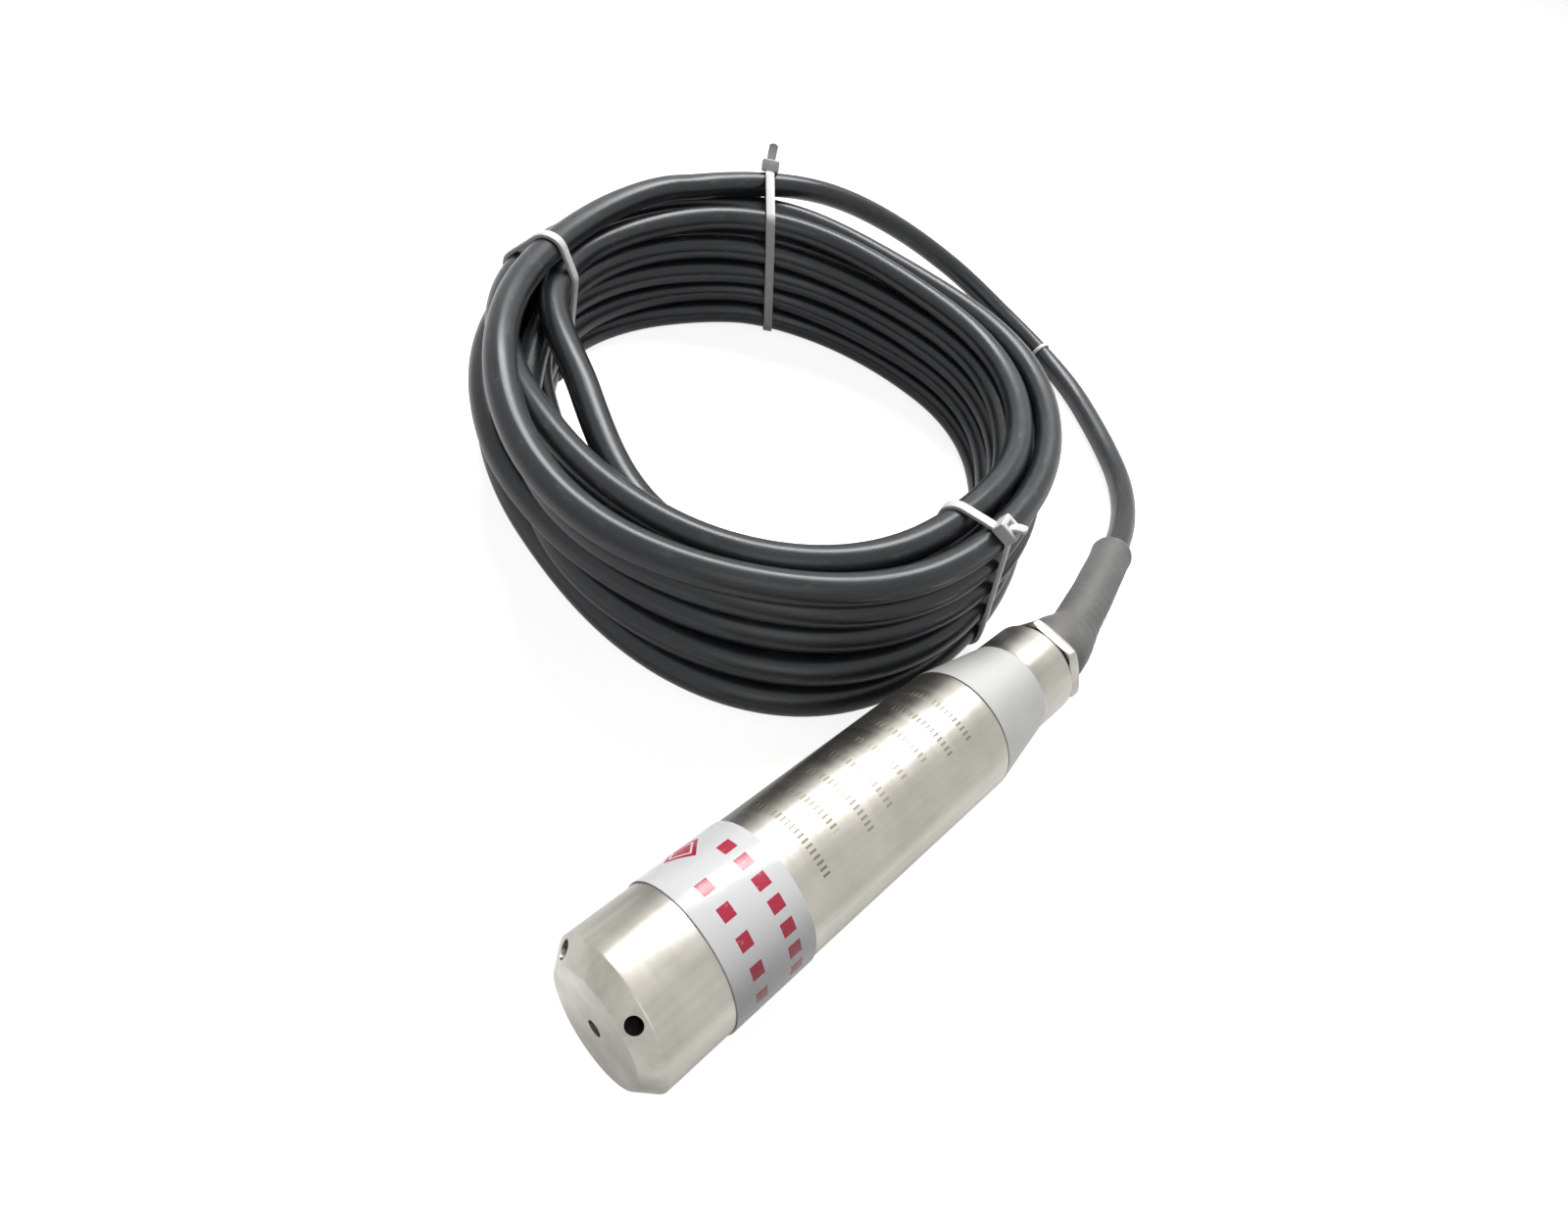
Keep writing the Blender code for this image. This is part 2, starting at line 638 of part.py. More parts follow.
def make_cable_cores():
    cores = (
        ("core_supply", "wire_red", CORE_RADIUS, 1.0, board_end - CORE_LANDING),
        ("core_return", "wire_blue", CORE_RADIUS, -1.0, board_end - CORE_LANDING),
        ("vent_tube", "vent_tube_plastic", VENT_TUBE_RADIUS, 0.0, board_end + VENT_TUBE_STOP),
    )
    for name, finish, radius, side, end in cores:
        above = board_top + radius if side else 0.0
        route = [
            (side * CORE_PITCH, side * CORE_PITCH, cable_start - GAP),
            (above, side * CORE_SPREAD, (cable_start + board_end) / 2),
            (above, side * CORE_SPREAD, end),
        ]
        wire = read_route(smooth_curve(route), 0, None, WIRE_STEP)
        bar(name, wire, radius, finish, probe_axis)


def coil_corners():
    """The centres of the rounded corners of the coil's section: distance from its axis, height."""
    low, high = COIL_INNER + COIL_CORNER, COIL_OUTER - COIL_CORNER
    bottom, top = coil_bottom + COIL_CORNER, COIL_TOP - COIL_CORNER
    return [(high, top), (high, bottom), (low, bottom), (low, top)]


def make_coil():
    profile = []
    for corner, (radius, height) in enumerate(coil_corners()):
        for i in range(COIL_CORNER_STEPS + 1):
            turn = math.pi / 2 * (1 - corner - i / COIL_CORNER_STEPS)
            out, up = COIL_CORNER * math.cos(turn), COIL_CORNER * math.sin(turn)
            profile.append((height + up, radius + out))
    turned("cable_coil", profile, "cable_jacket", coil_axis, sides=COIL_SIDES)


def wrapped_outline(circles, grow):
    """A closed outline drawn taut round circles, each (x, y, radius) grown by the same amount."""
    points = []
    for x, y, radius in circles:
        for i in range(STRAP_READS):
            turn = 2 * math.pi * i / STRAP_READS
            reach = radius + grow
            points.append((x + reach * math.cos(turn), y + reach * math.sin(turn)))
    outline = []
    for ordered in (sorted(points), sorted(points, reverse=True)):
        side = []
        for x, y in ordered:
            while len(side) > 1:
                (ax, ay), (bx, by) = side[-2:]
                if (bx - ax) * (y - ay) - (by - ay) * (x - ax) > STRAP_FLATNESS:
                    break
                side.pop()
            side.append((x, y))
        outline += side[:-1]
    return outline


def make_tie(name, turn, holds_lead, head_side, tail_length):
    """A strap drawn taut round the coil's section, with its head outside and its cut tail."""
    frame = frame_empty(f"{name}_frame", (0, 0, 0), (math.pi / 2, 0, turn), coil_axis)
    circles = [(radius, height, COIL_CORNER) for radius, height in coil_corners()]
    knuckle = circles[0]
    if holds_lead:
        beside = Vector((math.cos(turn), math.sin(turn)))
        offsets = [(place.xy - coil_axis.location.xy, place.z) for place in cable_curve()]
        offset, height = max(offsets, key=lambda read: read[0].normalized().dot(beside))
        knuckle = (offset.length, height, cable_bore)
        circles.append(knuckle)
    curve = bpy.data.curves.new(name, "CURVE")
    curve.dimensions = "2D"
    curve.fill_mode = "BOTH"
    curve.extrude = TIE_WIDTH / 2
    for grow in (GAP, GAP + TIE_THICKNESS):
        outline = wrapped_outline(circles, grow)
        spline = curve.splines.new("POLY")
        spline.points.add(len(outline) - 1)
        spline.use_cyclic_u = True
        for point, place in zip(spline.points, outline):
            point.co = (*place, 0, 1)
    strap = add_piece(name, welded_mesh(curve, name), "white_nylon", frame)
    length, across, height = TIE_HEAD
    along = 0 if holds_lead else -length / 2
    out = knuckle[2] + GAP + TIE_THICKNESS / 2 + height / 2
    tail = [TIE_TAIL_THICKNESS, tail_length, TIE_WIDTH]
    if head_side == "top":
        size, place = (length, height, across), Vector((knuckle[0] + along, knuckle[1] + out, 0))
        stands = tail_length / 2
    else:
        size, place = (height, length, across), Vector((knuckle[0] + out, knuckle[1] + along, 0))
        stands = -tail_length / 2
    combine(strap, box(f"{name}_head", size, place, None, frame), "UNION")
    combine(strap, box(f"{name}_tail", tail, place + Vector((0, stands, 0)), None, frame), "UNION")


make_nose_cap()
make_housing()
make_seal_band()
make_sensor()
make_retaining_ring()
make_header()
make_board()
make_tail_fitting()
make_gland()
make_gland_nut()
make_cable()
make_cable_cores()
make_coil()
for tie in TIES:
    make_tie(*tie)
for piece in parts.objects:
    if piece.type == "MESH":
        piece.data.shade_smooth()
        piece.data.set_sharp_from_angle(angle=math.radians(35))
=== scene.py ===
# Submersible level transmitter with its coiled cable: finished surfaces, real cable turns, light and camera.
# Metres. The probe lies along X with its nose towards -X, and the floor is at z = 0.
import bpy
import json
import math
import numpy as np
from functools import partialmethod
from mathutils import Matrix, Vector


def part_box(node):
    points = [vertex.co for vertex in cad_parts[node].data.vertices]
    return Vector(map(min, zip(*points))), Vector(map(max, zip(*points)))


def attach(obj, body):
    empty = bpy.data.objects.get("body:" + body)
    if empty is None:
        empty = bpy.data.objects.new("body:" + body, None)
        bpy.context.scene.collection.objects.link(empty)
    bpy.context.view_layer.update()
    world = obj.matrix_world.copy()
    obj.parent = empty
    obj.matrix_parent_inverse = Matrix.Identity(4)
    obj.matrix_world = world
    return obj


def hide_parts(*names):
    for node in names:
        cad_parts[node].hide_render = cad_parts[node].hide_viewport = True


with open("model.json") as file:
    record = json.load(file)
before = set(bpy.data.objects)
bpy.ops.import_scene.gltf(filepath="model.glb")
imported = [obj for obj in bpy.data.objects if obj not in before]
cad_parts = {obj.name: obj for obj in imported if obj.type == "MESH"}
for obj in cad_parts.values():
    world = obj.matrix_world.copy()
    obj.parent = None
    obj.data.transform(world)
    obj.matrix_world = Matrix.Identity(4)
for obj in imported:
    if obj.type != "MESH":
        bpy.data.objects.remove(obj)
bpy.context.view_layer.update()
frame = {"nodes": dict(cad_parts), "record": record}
mm = 0.001

# Camera and light
view = {
    "eye": (-0.10309, -0.03723, 0.17906),
    "forward": (0.6676, 0.3576, -0.6530),
    "up": (0.3573, 0.6156, 0.7024),
    "lens": 22.5,
    "shift": (-0.075, -0.06125),
}
light = {
    "floorSize": 40.0,
    "floorColour": (0.80, 0.80, 0.80),
    "floorBounce": (0.10, 0.10, 0.10),  # what the floor throws back at the object
    "floorLift": 0.84,  # keeps the floor white for the camera
    "mirroredLift": 0.42,  # and about white in reflections
    "skyStrength": 0.13,
    # name, place, aimed at, width, height, power
    "lamps": (
        ("overheadSoftbox", (0.58, 0.50, 1.00), (0.04, 0.05, 0.0), 1.00, 0.30, 18.0),
        ("frontSoftbox", (-0.55, -0.70, 0.90), (0.0, 0.05, 0.0), 0.70, 0.70, 1.6),
    ),
}


def link(item):
    # Puts a new object into the scene
    bpy.context.scene.collection.objects.link(item)
    return item


def buildCamera():
    back = -Vector(view["forward"]).normalized()
    up = Vector(view["up"]).normalized()
    right = up.cross(back).normalized()
    up = back.cross(right)
    data = bpy.data.cameras.new("camera")
    data.lens = view["lens"]
    data.shift_x, data.shift_y = view["shift"]
    data.clip_start = 0.01
    camera = link(bpy.data.objects.new("camera", data))
    turn = Matrix((right, up, back)).transposed().to_4x4()
    camera.matrix_world = Matrix.Translation(view["eye"]) @ turn
    bpy.context.scene.camera = camera
    print("camera ready")


def seenRay(nodes, links):
    # 1 for what the camera sees itself, in a reflection or through glass
    path = nodes.new("ShaderNodeLightPath")
    value = path.outputs["Is Camera Ray"]
    for ray in ("Is Glossy Ray", "Is Transmission Ray"):
        most = nodes.new("ShaderNodeMath")
        most.operation = "MAXIMUM"
        links.new(value, most.inputs[0])
        links.new(path.outputs[ray], most.inputs[1])
        value = most.outputs[0]
    return value


def buildWorld():
    # White where it is seen, and a dim sky where it lights the object
    bpy.context.scene.view_settings.view_transform = "Standard"
    world = bpy.data.worlds.new("studio")
    bpy.context.scene.world = world
    world.use_nodes = True
    nodes, links = world.node_tree.nodes, world.node_tree.links
    nodes.clear()
    shown = seenRay(nodes, links)
    mix = nodes.new("ShaderNodeMixShader")
    out = nodes.new("ShaderNodeOutputWorld")
    links.new(shown, mix.inputs["Fac"])
    for i, strength in enumerate((light["skyStrength"], 1.0)):
        white = nodes.new("ShaderNodeBackground")
        white.inputs["Color"].default_value = (1.0, 1.0, 1.0, 1.0)
        white.inputs["Strength"].default_value = strength
        links.new(white.outputs[0], mix.inputs[i + 1])
    links.new(mix.outputs[0], out.inputs["Surface"])


def buildLamps():
    for name, place, target, width, height, power in light["lamps"]:
        data = bpy.data.lights.new(name, "AREA")
        data.shape = "RECTANGLE"
        data.size, data.size_y, data.energy = width, height, power
        lamp = link(bpy.data.objects.new(name, data))
        lamp.location = place
        lamp.rotation_euler = (Vector(target) - Vector(place)).to_track_quat("-Z", "Y").to_euler()


def buildFloor():
    bpy.ops.mesh.primitive_plane_add(size=light["floorSize"])
    floor = bpy.context.object
    floor.name = "floor"
    paper = bpy.data.materials.new("floorPaper")
    paper.use_nodes = True
    nodes, links = paper.node_tree.nodes, paper.node_tree.links
    nodes.clear()
    shown = seenRay(nodes, links)
    bounced = nodes.new("ShaderNodeBsdfDiffuse")
    bounced.inputs["Color"].default_value = (*light["floorBounce"], 1.0)
    diffuse = nodes.new("ShaderNodeBsdfDiffuse")
    diffuse.inputs["Color"].default_value = (*light["floorColour"], 1.0)
    glow = nodes.new("ShaderNodeEmission")
    path = nodes.new("ShaderNodeLightPath")
    lift = nodes.new("ShaderNodeMath")
    lift.operation = "MULTIPLY_ADD"
    lift.inputs[1].default_value = light["floorLift"] - light["mirroredLift"]
    lift.inputs[2].default_value = light["mirroredLift"]
    links.new(path.outputs["Is Camera Ray"], lift.inputs[0])
    links.new(lift.outputs[0], glow.inputs["Strength"])
    add = nodes.new("ShaderNodeAddShader")
    mix = nodes.new("ShaderNodeMixShader")
    out = nodes.new("ShaderNodeOutputMaterial")
    links.new(diffuse.outputs[0], add.inputs[0])
    links.new(glow.outputs[0], add.inputs[1])
    links.new(shown, mix.inputs["Fac"])
    links.new(bounced.outputs[0], mix.inputs[1])
    links.new(add.outputs[0], mix.inputs[2])
    links.new(mix.outputs[0], out.inputs["Surface"])
    floor.data.materials.append(paper)


buildCamera()
buildWorld()
buildLamps()
buildFloor()
print("light and floor ready")


# Materials: every pattern reads Object coordinates, or a cord's own UV map
class Recipe:
    # One Principled material and the nodes that feed it
    def __init__(self, name, colour, roughness, metallic=0.0):
        self.material = bpy.data.materials.new(name)
        self.material.use_nodes = True
        self.nodes = self.material.node_tree.nodes
        self.links = self.material.node_tree.links
        self.shader = self.nodes["Principled BSDF"]
        self.shader.inputs["Base Color"].default_value = (*colour, 1.0)
        self.shader.inputs["Roughness"].default_value = roughness
        self.shader.inputs["Metallic"].default_value = metallic
        self.place = self.nodes.new("ShaderNodeTexCoord").outputs["Object"]
        self.lastBump = None

    def uv(self):
        self.place = self.nodes.new("ShaderNodeTexCoord").outputs["UV"]
        return self.place

    def mapped(self, scale, shift=(0, 0, 0)):
        mapping = self.nodes.new("ShaderNodeMapping")
        mapping.inputs["Scale"].default_value = scale
        mapping.inputs["Location"].default_value = shift
        self.links.new(self.place, mapping.inputs["Vector"])
        return mapping.outputs["Vector"]

    def noise(self, scale, detail=3.0, stretch=(1, 1, 1), roughness=0.5):
        texture = self.nodes.new("ShaderNodeTexNoise")
        texture.inputs["Scale"].default_value = scale
        texture.inputs["Detail"].default_value = detail
        texture.inputs["Roughness"].default_value = roughness
        self.links.new(self.mapped(stretch), texture.inputs["Vector"])
        return texture.outputs["Fac"]

    def math(self, operation, first, second=0.0, third=0.0):
        made = self.nodes.new("ShaderNodeMath")
        made.operation = operation
        for socket, value in zip(made.inputs, (first, second, third)):
            if isinstance(value, (int, float)):
                socket.default_value = value
            else:
                self.links.new(value, socket)
        return made.outputs[0]

    # The commonest sums by short names
    times = partialmethod(math, "MULTIPLY")
    plus = partialmethod(math, "ADD")
    minus = partialmethod(math, "SUBTRACT")
    over = partialmethod(math, "GREATER_THAN")
    under = partialmethod(math, "LESS_THAN")
    fraction = partialmethod(math, "FRACT")

    def span(self, value, low, high, outLow=0.0, outHigh=1.0):
        made = self.nodes.new("ShaderNodeMapRange")
        self.links.new(value, made.inputs["Value"])
        for name, number in (("From Min", low), ("From Max", high), ("To Min", outLow), ("To Max", outHigh)):
            made.inputs[name].default_value = number
        return made.outputs["Result"]

    def blend(self, factor, first, second):
        made = self.nodes.new("ShaderNodeMix")
        made.data_type = "RGBA"
        made.inputs["A"].default_value = (0, 0, 0, 1)
        for slot, value in ((0, factor), (6, first), (7, second)):
            if isinstance(value, (int, float)):
                made.inputs[slot].default_value = value
            elif isinstance(value, tuple):
                made.inputs[slot].default_value = (*value, 1.0)
            else:
                self.links.new(value, made.inputs[slot])
        return made.outputs[2]

    def colour(self, output):
        self.links.new(output, self.shader.inputs["Base Color"])

    def roughness(self, output):
        self.links.new(output, self.shader.inputs["Roughness"])

    def bump(self, height, strength, distance):
        made = self.nodes.new("ShaderNodeBump")
        made.inputs["Strength"].default_value = strength
        made.inputs["Distance"].default_value = distance
        self.links.new(height, made.inputs["Height"])
        if self.lastBump:
            self.links.new(self.lastBump, made.inputs["Normal"])
        self.lastBump = made.outputs["Normal"]
        self.links.new(self.lastBump, self.shader.inputs["Normal"])

    def split(self):
        made = self.nodes.new("ShaderNodeSeparateXYZ")
        self.links.new(self.place, made.inputs[0])
        return made.outputs[0], made.outputs[1], made.outputs[2]


axisHeight = 14.3 * mm
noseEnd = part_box("nose_cap")[0][0]


def aroundProbe(recipe):
    # How far along, how far round (radians, 0 at the top) and how far out from the probe's axis
    x, y, z = recipe.split()
    z = recipe.minus(z, axisHeight)
    turn = recipe.math("ARCTAN2", recipe.times(y, -1.0), z)
    out = recipe.math("SQRT", recipe.plus(recipe.times(y, y), recipe.times(z, z)))
    along = recipe.minus(x, noseEnd)
    return along, turn, out


steel = {
    "colour": (0.560, 0.538, 0.488),
    "dull": (0.350, 0.336, 0.300),
    "roughness": 0.32,
    "ringDepth": 0.008 * mm,
    "frosted": (0.47, 0.47, 0.455),
    "frostedRoughness": 0.72,
}


def steelRecipe(name):
    # Turned stainless: fine rings round it, drawn streaks along it, smudges from handling
    recipe = Recipe(name, steel["colour"], steel["roughness"], metallic=1.0)
    along, turn, out = aroundProbe(recipe)
    rings = recipe.noise(1.0, 4.0, (5200.0, 14.0, 14.0), 0.7)
    broad = recipe.noise(1.0, 3.0, (700.0, 40.0, 40.0), 0.6)
    streaks = recipe.noise(1.0, 3.0, (4.0, 170.0, 170.0), 0.6)
    smudge = recipe.noise(60.0, 5.0, roughness=0.6)
    faceRings = recipe.math("SINE", recipe.times(out, 9000.0))
    worn = recipe.plus(recipe.times(streaks, 0.55), recipe.times(smudge, 0.45))
    worn = recipe.span(worn, 0.34, 0.66)
    recipe.colour(recipe.blend(worn, steel["dull"], steel["colour"]))
    rough = recipe.span(smudge, 0.3, 0.75, steel["roughness"] * 0.90, steel["roughness"] * 1.22)
    recipe.roughness(recipe.plus(rough, recipe.span(broad, 0.3, 0.7, -0.025, 0.03)))
    recipe.bump(rings, 0.35, steel["ringDepth"])
    recipe.bump(faceRings, 0.12, steel["ringDepth"])
    return recipe


turnedSteel = steelRecipe("turnedSteel")

# The long tube carries rows of fine etched ticks
etching = {
    "start": 38.0 * mm,
    "rowPitch": 5.8 * mm,
    "rows": 8,
    "tick": 1.5 * mm,
    "tickPitch": 1.1 * mm,
    "tickShare": 0.40,
    "radius": 14.0 * mm,
    "from": (-0.80, 0.16),  # radians round the tube from its top, and how much that varies by row
    "to": (0.62, -0.42),
    "tone": (0.150, 0.130, 0.100),
}
markedSteel = steelRecipe("markedSteel")


def etchedTicks(recipe):
    along, turn, out = aroundProbe(recipe)
    row = recipe.math("DIVIDE", recipe.minus(along, etching["start"]), etching["rowPitch"])
    inRow = recipe.times(recipe.over(row, 0.0), recipe.under(row, float(etching["rows"])))
    # Rows begin and end at different turns
    chance = recipe.math("SINE", recipe.times(recipe.math("FLOOR", row), 5.13))
    chance = recipe.fraction(recipe.times(chance, 7.77))
    begin, beginVaries = etching["from"]
    end, endVaries = etching["to"]
    inRow = recipe.times(inRow, recipe.over(turn, recipe.math("MULTIPLY_ADD", chance, beginVaries, begin)))
    inRow = recipe.times(inRow, recipe.under(turn, recipe.math("MULTIPLY_ADD", chance, endVaries, end)))
    column = recipe.plus(recipe.times(turn, etching["radius"] / etching["tickPitch"]), 40.0)
    tick = recipe.under(recipe.fraction(column), etching["tickShare"])
    inTick = recipe.fraction(recipe.plus(row, 40.0))
    tick = recipe.times(tick, recipe.under(inTick, etching["tick"] / etching["rowPitch"]))
    faint = recipe.span(recipe.noise(45.0, 2.0), 0.3, 0.7, 0.55, 0.90)
    return recipe.times(recipe.times(inRow, tick), faint)


marks = etchedTicks(markedSteel)
cleanColour = markedSteel.shader.inputs["Base Color"].links[0].from_socket
markedSteel.colour(markedSteel.blend(marks, cleanColour, etching["tone"]))
cleanRoughness = markedSteel.shader.inputs["Roughness"].links[0].from_socket
markedSteel.roughness(markedSteel.math("MULTIPLY_ADD", marks, 0.30, cleanRoughness))

# The tail: a frosted taper, then a bright turned end
taper = {"end": 106.0 * mm, "rim": 10.5 * mm, "grainDepth": 0.04 * mm}
tailSteel = steelRecipe("tailSteel")
along, turn, out = aroundProbe(tailSteel)
onTaper = tailSteel.times(tailSteel.under(along, taper["end"]), tailSteel.over(out, taper["rim"]))
grain = tailSteel.noise(2600.0, 2.0)
dim = tuple(0.93 * c for c in steel["frosted"])
frost = tailSteel.blend(tailSteel.span(tailSteel.noise(150.0, 4.0), 0.3, 0.7), dim, steel["frosted"])
cleanColour = tailSteel.shader.inputs["Base Color"].links[0].from_socket
cleanRoughness = tailSteel.shader.inputs["Roughness"].links[0].from_socket
tailSteel.colour(tailSteel.blend(onTaper, cleanColour, frost))
away = tailSteel.minus(steel["frostedRoughness"], cleanRoughness)
tailSteel.roughness(tailSteel.math("MULTIPLY_ADD", onTaper, away, cleanRoughness))
tailSteel.bump(tailSteel.times(grain, onTaper), 0.35, taper["grainDepth"])


def plainRecipe(name, colour, roughness, metallic=0.0, mottle=0.08, grainScale=900.0, bump=0.02 * mm):
    recipe = Recipe(name, colour, roughness, metallic)
    cloud = recipe.noise(160.0, 4.0)
    grain = recipe.noise(grainScale, 3.0)
    dark = tuple(c * (1.0 - 2.5 * mottle) for c in colour)
    lightTone = tuple(min(1.0, c * (1.0 + mottle)) for c in colour)
    recipe.colour(recipe.blend(recipe.span(cloud, 0.3, 0.7), dark, lightTone))
    recipe.roughness(recipe.span(grain, 0.3, 0.7, roughness * 0.85, min(1.0, roughness * 1.15)))
    recipe.bump(grain, 0.3, bump)
    return recipe


# Finishes of the pieces inside, and of the small ones outside, by the record's slot: the material's name,
# colour, roughness, metallic value, mottle and the grain's scale
plainFinishes = {
    "sensor_steel": ("sensorSteel", (0.60, 0.60, 0.60), 0.35, 1.0, 0.04),
    "gilt_pins": ("giltPins", (0.86, 0.64, 0.26), 0.28, 1.0, 0.05),
    "brass": ("turnedBrass", (0.76, 0.57, 0.27), 0.32, 1.0, 0.06),
    "printed_film": ("plainFilm", (0.86, 0.86, 0.85), 0.3),
    "black_rubber": ("blackRubber", (0.022, 0.022, 0.022), 0.6, 0.0, 0.15, 1400.0),
    "cable_jacket": ("plainJacket", (0.028, 0.032, 0.034), 0.4),
    "shrink_sleeve": ("plainSleeve", (0.14, 0.14, 0.135), 0.6),
    "white_nylon": ("whiteNylon", (0.86, 0.86, 0.84), 0.38, 0.0, 0.03, 700.0),
    "board_laminate": ("boardLacquer", (0.03, 0.20, 0.10), 0.35, 0.0, 0.12, 2200.0),
    "chip_resin": ("chipResin", (0.03, 0.03, 0.035), 0.5, 0.0, 0.1, 2600.0),
    "trimmer_blue": ("trimmerBlue", (0.05, 0.17, 0.48), 0.35, 0.0, 0.06),
    "capacitor_resin": ("capacitorResin", (0.75, 0.50, 0.08), 0.4, 0.0, 0.06),
    "holder_plastic": ("holderPlastic", (0.74, 0.72, 0.65), 0.5, 0.0, 0.04),
    "vent_tube_plastic": ("ventTube", (0.80, 0.82, 0.84), 0.25, 0.0, 0.03),
    "wire_red": ("redInsulation", (0.60, 0.03, 0.03), 0.4),
    "wire_black": ("blackInsulation", (0.02, 0.02, 0.02), 0.4),
    "wire_yellow": ("yellowInsulation", (0.76, 0.62, 0.05), 0.4),
    "wire_blue": ("blueInsulation", (0.04, 0.12, 0.50), 0.4),
}
slotFinish = {slot: plainRecipe(*values) for slot, values in plainFinishes.items()}
slotFinish.update(turned_steel=turnedSteel, frosted_steel=tailSteel)
for part in frame["record"]["subparts"]:
    node = frame["nodes"][part["node"]]
    for slot in node.material_slots:
        slot.material = slotFinish[part["material_slot"]].material
print("materials ready")


# Cable ties: piece, node, degrees round the coil, how far the strap is skewed from the radius, how far it
# leans along the coil per millimetre of height, where the head sits on the strap (degrees, 0 is outside and
# 90 the top), tail length, how far the tail bends down
tiePlaces = (
    ("tie_left", "cable_tie_left", 121.0, 4.0, 0.0, -20.0, 6.0 * mm, -0.8),
    ("tie_far", "cable_tie_far", 56.2, -6.0, 0.17, 62.0, 6.5 * mm, -0.45),
    ("tie_near", "cable_tie_near", -92.0, 20.0, 0.0, 64.0, 4.6 * mm, 0.9),
)

# Cable: the lead's route, then the turns of the coil
cable = {
    "radius": 3.6 * mm,
    "startX": 33.0 * mm,  # the cable's start inside the tail, and a place on its way to the gland
    "glandX": 50.0 * mm,
    "exit": (62.65 * mm, 0.0, 14.3 * mm),
    "sides": 20,
    "coilCentre": (60.0, 93.5),
    "pointsPerTurn": 60,
    "meanRadius": 71.0 * mm,
    "leadEnd": 74.0,  # degrees round the coil where the lead joins it
    # Each turn's distance from the coil's axis and height, top turn first
    "turns": (
        (70.5, 39.8), (75.1, 33.2), (67.3, 33.4), (67.0, 26.2), (75.0, 26.0),
        (75.0, 19.0), (67.2, 19.1), (67.2, 11.9), (75.2, 11.9), (75.4, 4.9),
        (67.4, 4.9), (60.2, 4.9),
    ),
    "lastTurnShare": 0.30,
    "turnChange": 163.0,  # degrees round the coil where each turn steps to the next
    "changeWidth": 40.0,
    # How far each turn wanders aside and up, and how that drifts from turn to turn (radians)
    "wobble": (1.1, 0.6, 2.4),
    # Between the ties, turns under this height sink by up to this much, lower ones more
    "sink": 1.15,
    "sinkHeight": 40.0,
    "tieWidth": 16.0,  # degrees over which a tie holds the turns up
    "strapWidth": 12.0,  # and over which its strap lifts the lowest
    # The coil isn't round: drawn in on the right, leaning in on the left, spread low on the near side. Which
    # turns a bulge is on, how far outwards it is, and its middle and width in degrees
    "bulges": (
        ("all", -7.0, 303.0, 44.0),
        ("all", -4.6, 14.0, 28.0),
        ("high", -2.2, 268.0, 24.0),
        ("high", -3.2, 150.0, 32.0),
        ("leaning", -8.5, 163.0, 36.0),
        ("low", 6.2, 231.0, 30.0),
    ),
    # The height where each kind of bulge starts, and how far from there it is whole
    "highFrom": (16.0, 15.0),
    "leaningUnder": (29.0, 24.0),
    "lowUnder": (20.0, 15.0),
    # Single turns that stray, such as the one that crosses the hole: which turn, how far outwards and how far
    # up, and the middle and width in degrees
    "strays": (
        (0, 7.6, 0.0, 56.0, 30.0),
        (0, -1.8, 0.0, 115.0, 22.0),
        (0, 3.4, 0.0, 198.0, 26.0),
        (1, 4.6, 0.0, 66.0, 28.0),
        (2, 3.4, 0.0, 64.0, 28.0),
        (2, -11.2, 0.0, 167.0, 36.0),
        (0, 0.0, 1.0, 74.0, 24.0),
        (1, 0.0, 3.2, 62.0, 32.0),
        (1, 0.0, 1.5, 54.0, 24.0),
        (2, 0.0, 1.4, 60.0, 32.0),
    ),
}
coilCentre = np.array(cable["coilCentre"])
# How the turns are pushed apart where they lie in each other
settling = {
    "steps": 160,
    "clearance": 0.12 * mm,
    "sameTurn": 8,  # points along the cable that don't count as another turn
    "fixedLength": 0.36,  # of the lead, which stays where it is
    "easeIn": 12.0,  # points over which the rest starts to give way
    "smoothing": 0.4,
    "fade": 0.998,
}
# Millimetres, from the gland to the top of the coil
leadRoute = [
    (62.95, 0.0, 14.3), (67.95, 0.0, 14.3), (75.5, 1.4, 14.2), (89.0, 5.0, 13.4),
    (105.4, 9.6, 11.4), (120.8, 14.2, 9.2), (134.8, 20.8, 7.2), (147.0, 29.4, 5.5),
    (156.0, 38.6, 4.4), (165.2, 51.0, 3.9), (175.2, 68.0, 3.8), (180.6, 87.1, 5.0),
    (178.8, 106.4, 9.6), (171.7, 122.6, 16.8), (160.4, 134.8, 24.3), (149.2, 142.4, 30.2),
    (138.4, 148.6, 34.8), (127.6, 153.4, 38.2), (117.0, 157.2, 40.2), (106.0, 161.2, 40.8),
    (93.7, 164.6, 40.8), (80.5, 166.4, 40.8),
]


def smoothCurve(points, reads=12):
    # Places on one smooth curve through the given points
    knots = np.array(points, float)
    knots = np.vstack([2 * knots[0] - knots[1], knots, 2 * knots[-1] - knots[-2]])
    t = (np.arange(reads) / reads)[:, None]
    places = []
    for a, b, c, d in zip(knots, knots[1:], knots[2:], knots[3:]):
        bend = (2 * a - 5 * b + 4 * c - d) * t**2 + (3 * b - a - 3 * c + d) * t**3
        places.append(b + (c - a) * t / 2 + bend / 2)
    return np.vstack(places + [knots[-2]])


def measured(path):
    # The length along the path at each of its points
    return np.concatenate([[0.0], np.cumsum(np.linalg.norm(np.diff(path, axis=0), axis=1))])


def readEvenly(path, step):
    # The same path with its points about a step apart
    lengths = measured(path)
    wanted = np.linspace(0.0, lengths[-1], max(2, round(lengths[-1] / step) + 1))
    return np.stack([np.interp(wanted, lengths, path[:, axis]) for axis in range(3)], axis=1)


